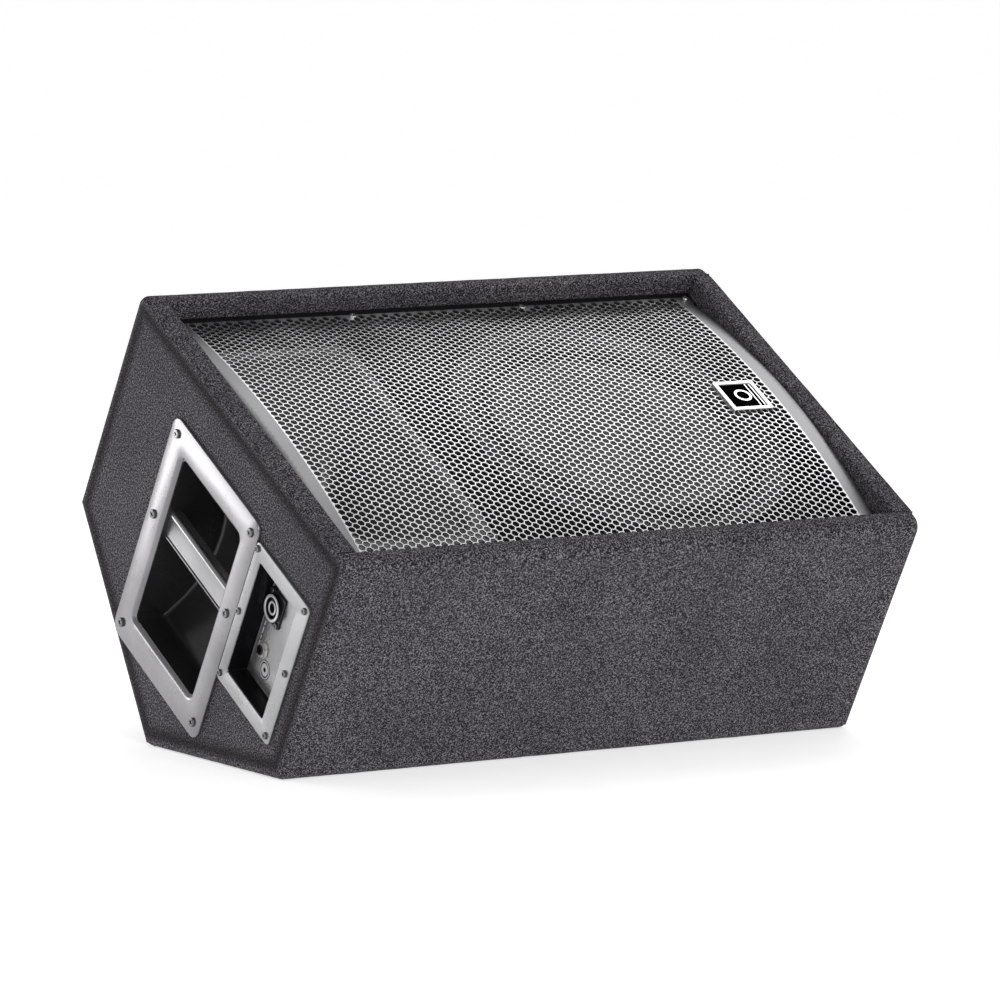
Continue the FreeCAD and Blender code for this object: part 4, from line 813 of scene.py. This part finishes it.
# A flat frame whose opening rolls over into a short wall; lip gives how far out and down each step is.
def makeHandlePlate(cfg):
    wide, high = plateBox[1].y - plateBox[0].y, plateBox[1].z - plateBox[0].z
    bm = bmesh.new()

    def outer(inset, lift):
        return roundedLoop(bm, high - 2 * inset, wide - 2 * inset, cfg["corner"] - inset, lift)

    def inner(grow, lift):
        return roundedLoop(
            bm, cfg["openHigh"] + 2 * grow, cfg["openWide"] + 2 * grow, cfg["openCorner"] + grow, lift,
        )

    top, edge = plateRise, cfg["edge"]
    loops = [outer(0, 0), outer(0, top - edge), outer(edge * 0.3, top - edge * 0.3), outer(edge, top)]
    loops += [inner(grow, top - drop) for grow, drop in cfg["lip"]]
    loops += [inner(0, -lipDrop), inner(cfg["lipWall"], -lipDrop), inner(cfg["lipWall"], 0)]
    bridge(bm, loops, closed=True)
    return bm


# Upright walls and a curved floor, deepest behind the grip, with a rounded edge where they meet.
def makeHandleCup(cfg):
    wall = cfg["cupWall"]
    wide = cupBox[1].y - cupBox[0].y - 2 * wall
    high = cupBox[1].z - cupBox[0].z - 2 * wall
    deep = cupBox[1].x - cupBox[0].x - wall
    corner = cfg["openCorner"] + cfg["lipWall"]
    sag = deep - cfg["cupSide"]
    radius = ((high / 2) ** 2 + sag ** 2) / (2 * sag)
    soft = cfg["cupRound"]
    bm = bmesh.new()

    def loop(inset, share, lift):
        cornerRadius = max(corner - inset, 0.0005)
        edges = roundedLoop(bm, high - 2 * inset, wide - 2 * inset, cornerRadius, 0, run=10)
        for vert in {v for e in edges for v in e.verts}:
            floor = math.sqrt(radius ** 2 - vert.co.x ** 2) - (radius - deep)
            vert.co.z = -floor * share + lift
        return edges

    loops = [loop(0, share, 0) for share in cfg["wallRings"]] + [loop(0, 1, soft)]
    for a in map(math.radians, (22, 45, 68)):
        loops.append(loop(soft * (1 - math.cos(a)), 1, soft * (1 - math.sin(a))))
    loops += [loop(soft + (wide / 2 - soft) * share, 1, 0) for share in (0, *cfg["floorRings"])]
    bridge(bm, loops)
    bmesh.ops.contextual_create(bm, geom=loops[-1])
    bmesh.ops.triangulate(bm, faces=[f for f in bm.faces if len(f.verts) > 4])
    bmesh.ops.recalc_face_normals(bm, faces=bm.faces)
    floor = min(bm.faces, key=lambda f: f.calc_center_median().z)
    if floor.normal.z < 0:
        bmesh.ops.reverse_faces(bm, faces=bm.faces)
    bmesh.ops.solidify(bm, geom=bm.faces[:], thickness=-wall)
    return bm


# A flat-faced bar with a rounded upper ridge, and a thin lip below a groove.
def makeGrip():
    half = (gripBox[1].z - gripBox[0].z) / 2
    span, thick = gripBox[1].y - gripBox[0].y, gripBox[1].x - gripBox[0].x
    ridge = arcPoints((half - 0.0034, -0.0034), 0.0034, -90, 110, 12)
    profile = [(-half, -thick + 0.003), (-half + 0.003, -thick), (half - 0.004, -thick)]
    profile += [(half, -thick + 0.004), *ridge[3:], (half - 0.0062, -0.0010), (-half + 0.0036, -0.0010)]
    profile += [(-half + 0.0032, -0.0030), (-half + 0.0022, -0.0030), (-half + 0.0018, -0.0008)]
    profile += [(-half + 0.0008, -0.0004), (-half, -0.0012)]
    bm = bmesh.new()
    verts = [bm.verts.new((x, -span / 2, z)) for x, z in profile]
    face = bm.faces.new(verts)
    moved = bmesh.ops.extrude_face_region(bm, geom=[face])["geom"]
    bmesh.ops.translate(bm, vec=(0, span, 0), verts=onlyVerts(moved))
    return bm


handlePlace = leftEnd(endFace, handleCentre.y, handleCentre.z)
gripCentre = centreOf(gripBox)
finishPiece(
    "handle_plate_pressed", makeHandlePlate(handleSettings), "plate_finish", ("handle_plate",),
    place=handlePlace, smooth=40,
)
finishPiece(
    "handle_cup_moulded", makeHandleCup(handleSettings), "cup_plastic", ("handle_cup",),
    place=handlePlace, smooth=40,
)
finishPiece(
    "handle_grip_moulded", makeGrip(), "grip_finish", ("handle_grip_bar",),
    place=leftEnd(gripBox[0].x, gripCentre.y, gripCentre.z), smooth=40,
)
print("handle made")

# Input dish and its sockets.

dishBox = mouthBox("input_dish")
socketBox = mouthBox("speaker_socket")
dishSettings = {
    "corner": 0.005, "edge": 0.0006, "openWide": 0.0703, "openHigh": 0.1163, "openY": -0.1244, "wall": 0.0025,
    "deep": 0.021, "floorRound": 0.002,
}


# A frame with a pocket in it; the pocket's side walls take the second finish, a black that is painted shade in the
# pocket.
def makeDish(cfg):
    wide, high = dishBox[1].y - dishBox[0].y, dishBox[1].z - dishBox[0].z
    top = endFace - dishBox[0].x
    shift = cfg["openY"] - centreOf(dishBox).y
    bm = bmesh.new()

    def outer(inset, lift):
        return roundedLoop(bm, high - 2 * inset, wide - 2 * inset, cfg["corner"] - inset, lift)

    def inner(grow, lift):
        openHigh, openWide = cfg["openHigh"] + 2 * grow, cfg["openWide"] + 2 * grow
        corner = max(cfg["corner"] / 2 + grow, 0.0006)
        return roundedLoop(bm, openHigh, openWide, corner, lift, centre=(0, shift))

    floor = top - cfg["deep"]
    soft = cfg["floorRound"]
    loops = [outer(0, 0), outer(0, top - cfg["edge"]), outer(cfg["edge"], top), inner(0.0012, top)]
    loops += [inner(0.0004, top - 0.0003), inner(0, top - 0.0012), inner(0, floor + soft)]
    loops += [inner(-soft * 0.3, floor + soft * 0.3), inner(-soft, floor)]
    bridge(bm, loops)
    bmesh.ops.contextual_create(bm, geom=loops[-1])
    for face in bm.faces:
        face.normal_update()
        low = face.calc_center_median().z < top - 0.002
        face.material_index = 1 if low and abs(face.normal.z) < 0.5 else 0
    back = [inner(cfg["wall"], 0), inner(cfg["wall"], floor - cfg["wall"])]
    bridge(bm, [loops[0]] + back)
    bmesh.ops.contextual_create(bm, geom=back[-1])
    return bm


dishCentre = centreOf(dishBox)
finishPiece(
    "input_dish_moulded", makeDish(dishSettings), ("dish_finish", "dish_wall_shade_and_print_black"), ("input_dish",),
    place=leftEnd(endFace, dishCentre.y, dishCentre.z), smooth=40,
)

socketSettings = {
    "flangeHigh": 0.031, "flangeWide": 0.026, "flangeThick": 0.002, "flangeEdge": 0.0004, "ring": 0.0125,
    "bore": 0.00975, "core": 0.0065, "coreBore": 0.0042, "rise": 0.006, "back": 0.022, "round": 0.0009,
    "body": 0.011, "keys": 4, "key": (0.0022, 0.0024, 0.016),
}


# Square flange, round shell and core with softened lips, keys between them.
def makeSocket(cfg):
    bm = bmesh.new()
    thick, r, edge = cfg["flangeThick"], cfg["round"], cfg["flangeEdge"]
    high, wide, hole = cfg["flangeHigh"], cfg["flangeWide"], 2 * cfg["ring"] - 0.0004
    loops = [
        roundedLoop(bm, high, wide, 0.002, 0),
        roundedLoop(bm, high, wide, 0.002, thick - edge),
        roundedLoop(bm, high - 2 * edge, wide - 2 * edge, 0.002 - edge, thick),
        roundedLoop(bm, hole, hole, hole / 2, thick),
        roundedLoop(bm, hole, hole, hole / 2, 0),
    ]
    bridge(bm, loops, closed=True)
    deep = -cfg["back"] + 0.003
    top = cfg["rise"]
    shell = [(cfg["ring"], -0.001), *arcPoints((cfg["ring"] - r, top - r), r, 0, 90, 4)]
    shell += [*arcPoints((cfg["bore"] + r, top - r), r, 90, 180, 4), (cfg["bore"], deep)]
    coreTop = top - 0.001
    core = [(cfg["core"], deep), *arcPoints((cfg["core"] - r, coreTop - r), r, 0, 90, 4)]
    core += [*arcPoints((cfg["coreBore"] + r, coreTop - r), r, 90, 180, 4), (cfg["coreBore"], deep + 0.004)]
    rear = [(0.0001, deep + 0.004)]
    foot = [(0.0001, -cfg["back"]), (cfg["body"], -cfg["back"]), (cfg["body"], -0.001), (cfg["ring"], -0.001)]
    spun(bm, shell + core + rear + foot, 48)
    # Top faces of the shell's and core's lips take the grey: a painted highlight.
    for face in bm.faces:
        spot = face.calc_center_median()
        lip = spot.z > coreTop - cfg["round"] * 0.7 and spot.xy.length < cfg["ring"]
        face.material_index = 1 if lip else 0
    for k in range(cfg["keys"]):
        turn = Matrix.Rotation(math.radians(45 + 360 / cfg["keys"] * k), 4, "Z")
        place = turn @ Matrix.Translation((cfg["bore"] - 0.0008, 0, -0.004))
        bmesh.ops.create_cube(bm, size=1, matrix=place @ Matrix.Diagonal((*cfg["key"], 1)))
    return bm


socketCentre = centreOf(socketBox)
dishFloor = endFace + dishSettings["deep"] - (endFace - dishBox[0].x)
finishPiece(
    "speaker_socket_moulded", makeSocket(socketSettings), ("socket_plastic", "socket_lip_painted_highlight"),
    ("speaker_socket",), place=leftEnd(dishFloor, socketCentre.y, socketCentre.z),
)

# Plain printed marks on the dish floor: a disc with a ring, and short bars in place of wording.
printSettings = {
    "discY": -0.114, "discZ": -0.181, "disc": 0.0083, "edge": 1.08, "bore": 0.02,
    "rings": ((1.0, 0.86), (0.72, 0.26)),
    "barsY": -0.0945, "bars": (6, 4, 7, 5, 6, 4), "barUnit": 0.001, "barHigh": 0.0011, "barGap": 0.0018,
    "barsFrom": 0.012, "thick": 0.00024,
}


def makePrint(cfg):
    disc, thick = cfg["disc"], cfg["thick"]
    bm = bmesh.new()
    raisedRing(bm, disc * cfg["edge"], disc * cfg["bore"], 0, thick / 2, 40)
    for face in bm.faces:
        face.material_index = 1
    for outer, inner in cfg["rings"]:
        raisedRing(bm, disc * outer, disc * inner, thick / 2, thick, 40)
    start = cfg["barsFrom"]
    for units in cfg["bars"]:
        long = units * cfg["barUnit"]
        size = Matrix.Diagonal((long, cfg["barHigh"], thick, 1))
        place = Matrix.Translation((start + long / 2, cfg["barsY"] - cfg["discY"], thick / 2))
        bmesh.ops.create_cube(bm, size=1, matrix=place @ size)
        start += long + cfg["barGap"]
    return bm


finishPiece(
    "input_dish_print", makePrint(printSettings), ("print_white", "dish_wall_shade_and_print_black"),
    place=leftEnd(dishFloor, printSettings["discY"], printSettings["discZ"]), smooth=0,
)
print("input dish made")

# Woofer.

wooferBox = mouthBox("woofer_basket")
coneBox = mouthBox("woofer_cone")
gasketBox = mouthBox("woofer_gasket")
capBox = mouthBox("woofer_dust_cap")
surroundBox = mouthBox("woofer_surround")
baffleFace = mouthBox("baffle_board")[1].z
wooferCentre = centreOf(wooferBox)
wooferPlace = outFrame(wooferCentre.x, wooferCentre.y, baffleFace)
wooferSettings = {
    "wall": 0.0008, "rollOut": 0.018, "valley": 0.0034, "glue": 0.006, "coneWall": 0.0009, "neck": 0.0324,
    "coneSteps": 28, "coneDepth": 0.93, "coneCurve": 1.12, "coneBend": 0.0024, "ribs": 3, "ribHigh": 0.0005,
    "ribFrom": 0.14, "ribStep": 0.1, "ribHalf": 0.02, "capSteps": 16, "capLip": 0.0012,
    "blendFrom": 0.0030, "blendTo": 0.0004,
}


# Two half rolls between the glued rim and the cone; the inner slope runs down to the cone's edge.
def makeSurround(cfg):
    cone = (coneBox[1].x - coneBox[0].x) / 2
    rim = (surroundBox[1].x - surroundBox[0].x) / 2
    outer = cone + cfg["rollOut"]
    seat = gasketBox[0].z - baffleFace
    roll = cfg["rollOut"] / 4 - 0.0002
    bm = bmesh.new()
    over = [(rim, seat), (outer, seat)]
    over += arcPoints((outer - roll, cfg["valley"]), roll, 0, 180, 12)[1:]
    over += arcPoints((outer - 3 * roll, cfg["valley"]), roll, 0, 150, 10)[1:]
    over += [(cone + 0.0006, 0.0009), (cone - cfg["glue"], 0.0008)]
    under = [(r, h - cfg["wall"]) for r, h in reversed(over)]
    spun(bm, over + under + over[:1], 144)
    return bm


# A gently curved cone with raised rings near its edge.
def makeCone(cfg):
    edge = (coneBox[1].x - coneBox[0].x) / 2
    deep = baffleFace - coneBox[0].z
    glued = edge - cfg["glue"]
    ribs = [cfg["ribFrom"] + cfg["ribStep"] * k for k in range(cfg["ribs"])]
    over = [(edge, 0)]
    for i in range(cfg["coneSteps"] + 1):
        share = i / cfg["coneSteps"]
        drop = deep * share ** cfg["coneCurve"] * cfg["coneDepth"]
        bend = cfg["coneBend"] * math.sin(math.pi * share)
        rib = cfg["ribHigh"] if any(abs(share - middle) < cfg["ribHalf"] for middle in ribs) else 0
        over.append((glued - (glued - cfg["neck"]) * share, -drop + bend + rib))
    under = [(r, h - cfg["coneWall"]) for r, h in reversed(over)]
    bm = bmesh.new()
    spun(bm, over + under + over[:1], 144)
    return bm


# A shallow dome with a small glued lip.
def makeDustCap(cfg):
    radius = (capBox[1].x - capBox[0].x) / 2
    low = capBox[0].z - baffleFace
    rise = capBox[1].z - baffleFace - low
    sphere = (radius ** 2 + rise ** 2) / (2 * rise)
    over = []
    for i in range(cfg["capSteps"] + 1):
        r = radius * (1 - i / cfg["capSteps"])
        over.append((max(r, 0.00005), low + math.sqrt(sphere ** 2 - r ** 2) - (sphere - rise)))
    under = [(r, h - cfg["wall"]) for r, h in reversed(over)]
    lip = radius + cfg["capLip"]
    bm = bmesh.new()
    spun(bm, [(lip, low - 0.0005)] + over + under + [(lip, low - 0.0013), (lip, low - 0.0005)], 96)
    return bm


surround = finishPiece(
    "woofer_surround_cloth", makeSurround(wooferSettings), "treated_cloth", ("woofer_surround",),
    body=None, place=wooferPlace, smooth=50,
)
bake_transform(surround)
finishPiece(
    "woofer_cone_paper", makeCone(wooferSettings), "cone_paper", ("woofer_cone",), "woofer_moving",
    wooferPlace, 50,
)
finishPiece(
    "woofer_dust_cap_dome", makeDustCap(wooferSettings), "cone_paper", ("woofer_dust_cap",), "woofer_moving",
    wooferPlace, 50,
)
print("woofer made")

# Horn.

hornBox = mouthBox("horn")
hornCentre = centreOf(hornBox)
hornSettings = {
    "flangeCorner": 0.008, "flangeThick": 0.004, "edge": 0.0008, "mouthWide": 0.123, "mouthHigh": 0.265,
    "mouthCorner": 0.025, "lip": 0.006, "throat": 0.0254, "deep": 0.105, "wall": 0.003, "foot": 0.008,
    "footRadius": 0.04, "rings": 12, "flare": 2.1, "flareShare": 0.65,
}


# Flange on the baffle, rounded mouth and a flare that turns from a rectangle to the round throat.
def makeHorn(cfg):
    wide, high = hornBox[1].x - hornBox[0].x, hornBox[1].y - hornBox[0].y
    top, throat, lip = cfg["flangeThick"], cfg["throat"], cfg["lip"]
    bm = bmesh.new()

    def outer(inset, lift):
        return roundedLoop(bm, wide - 2 * inset, high - 2 * inset, cfg["flangeCorner"] - inset, lift)

    def flare(share, grow):
        opened = (1 - share) ** cfg["flare"]
        spread = (1 - cfg["flareShare"]) * (1 - share) + cfg["flareShare"] * opened
        x = throat + (cfg["mouthWide"] - throat) * spread + 2 * grow
        y = throat + (cfg["mouthHigh"] - throat) * spread + 2 * grow
        corner = throat / 2 + (cfg["mouthCorner"] - throat / 2) * opened + grow
        lift = top - lip - (cfg["deep"] + top - lip) * share
        return roundedLoop(bm, x, y, min(corner, x / 2 - 1e-5), lift)

    def mouth(grow, lift):
        mouthWide, mouthHigh = cfg["mouthWide"] + 2 * grow, cfg["mouthHigh"] + 2 * grow
        return roundedLoop(bm, mouthWide, mouthHigh, cfg["mouthCorner"] + grow, lift)

    def disc(radius, lift):
        return roundedLoop(bm, 2 * radius, 2 * radius, radius - 1e-5, lift)

    shares = [i / cfg["rings"] for i in range(cfg["rings"] + 1)]
    loops = [outer(0, 0), outer(0, top - cfg["edge"]), outer(cfg["edge"], top), mouth(lip, top)]
    for a in map(math.radians, (60, 30)):
        loops.append(mouth(lip * (1 - math.cos(a)), top - lip * (1 - math.sin(a))))
    loops += [flare(share, 0) for share in shares]
    foot = -cfg["deep"] - cfg["foot"]
    loops += [disc(throat / 2, foot), disc(cfg["footRadius"], foot), disc(cfg["footRadius"], -cfg["deep"])]
    loops += [flare(share, cfg["wall"]) for share in reversed(shares)]
    bridge(bm, loops, closed=True)
    return bm


finishPiece(
    "horn_moulded", makeHorn(hornSettings), "horn_plastic", ("horn",),
    place=outFrame(hornCentre.x, hornCentre.y, baffleFace), smooth=40,
)
print("horn made")

# Wool lining.

woolSettings = {"grid": 0.014, "bevel": 0.008, "wave": 0.0045, "seed": 9}
finishPiece(
    "acoustic_wool", softSkin("acoustic_lining", woolSettings), "wool", ("acoustic_lining",), smooth=80,
)
print("lining made")

# Floor.

floorSettings = {
    "base": (0.92, 0.92, 0.92), "roughness": 0.6, "grain": 90, "bump": 0.01, "spread": 0.01, "glow": 0.53,
    "size": 14,
}


def makeFloor(cfg):
    bm = bmesh.new()
    bmesh.ops.create_grid(bm, x_segments=2, y_segments=2, size=cfg["size"])
    mesh = bpy.data.meshes.new("floor")
    bm.to_mesh(mesh)
    bm.free()
    floor = bpy.data.objects.new("floor", mesh)
    bpy.context.scene.collection.objects.link(floor)
    paint = grainedMaterial("floor_paint", cfg)
    shader = paint.node_tree.nodes["Principled BSDF"]
    shader.inputs["Emission Color"].default_value = (1, 1, 1, 1)
    shader.inputs["Emission Strength"].default_value = cfg["glow"]
    mesh.materials.append(paint)


makeFloor(floorSettings)
print("floor made")
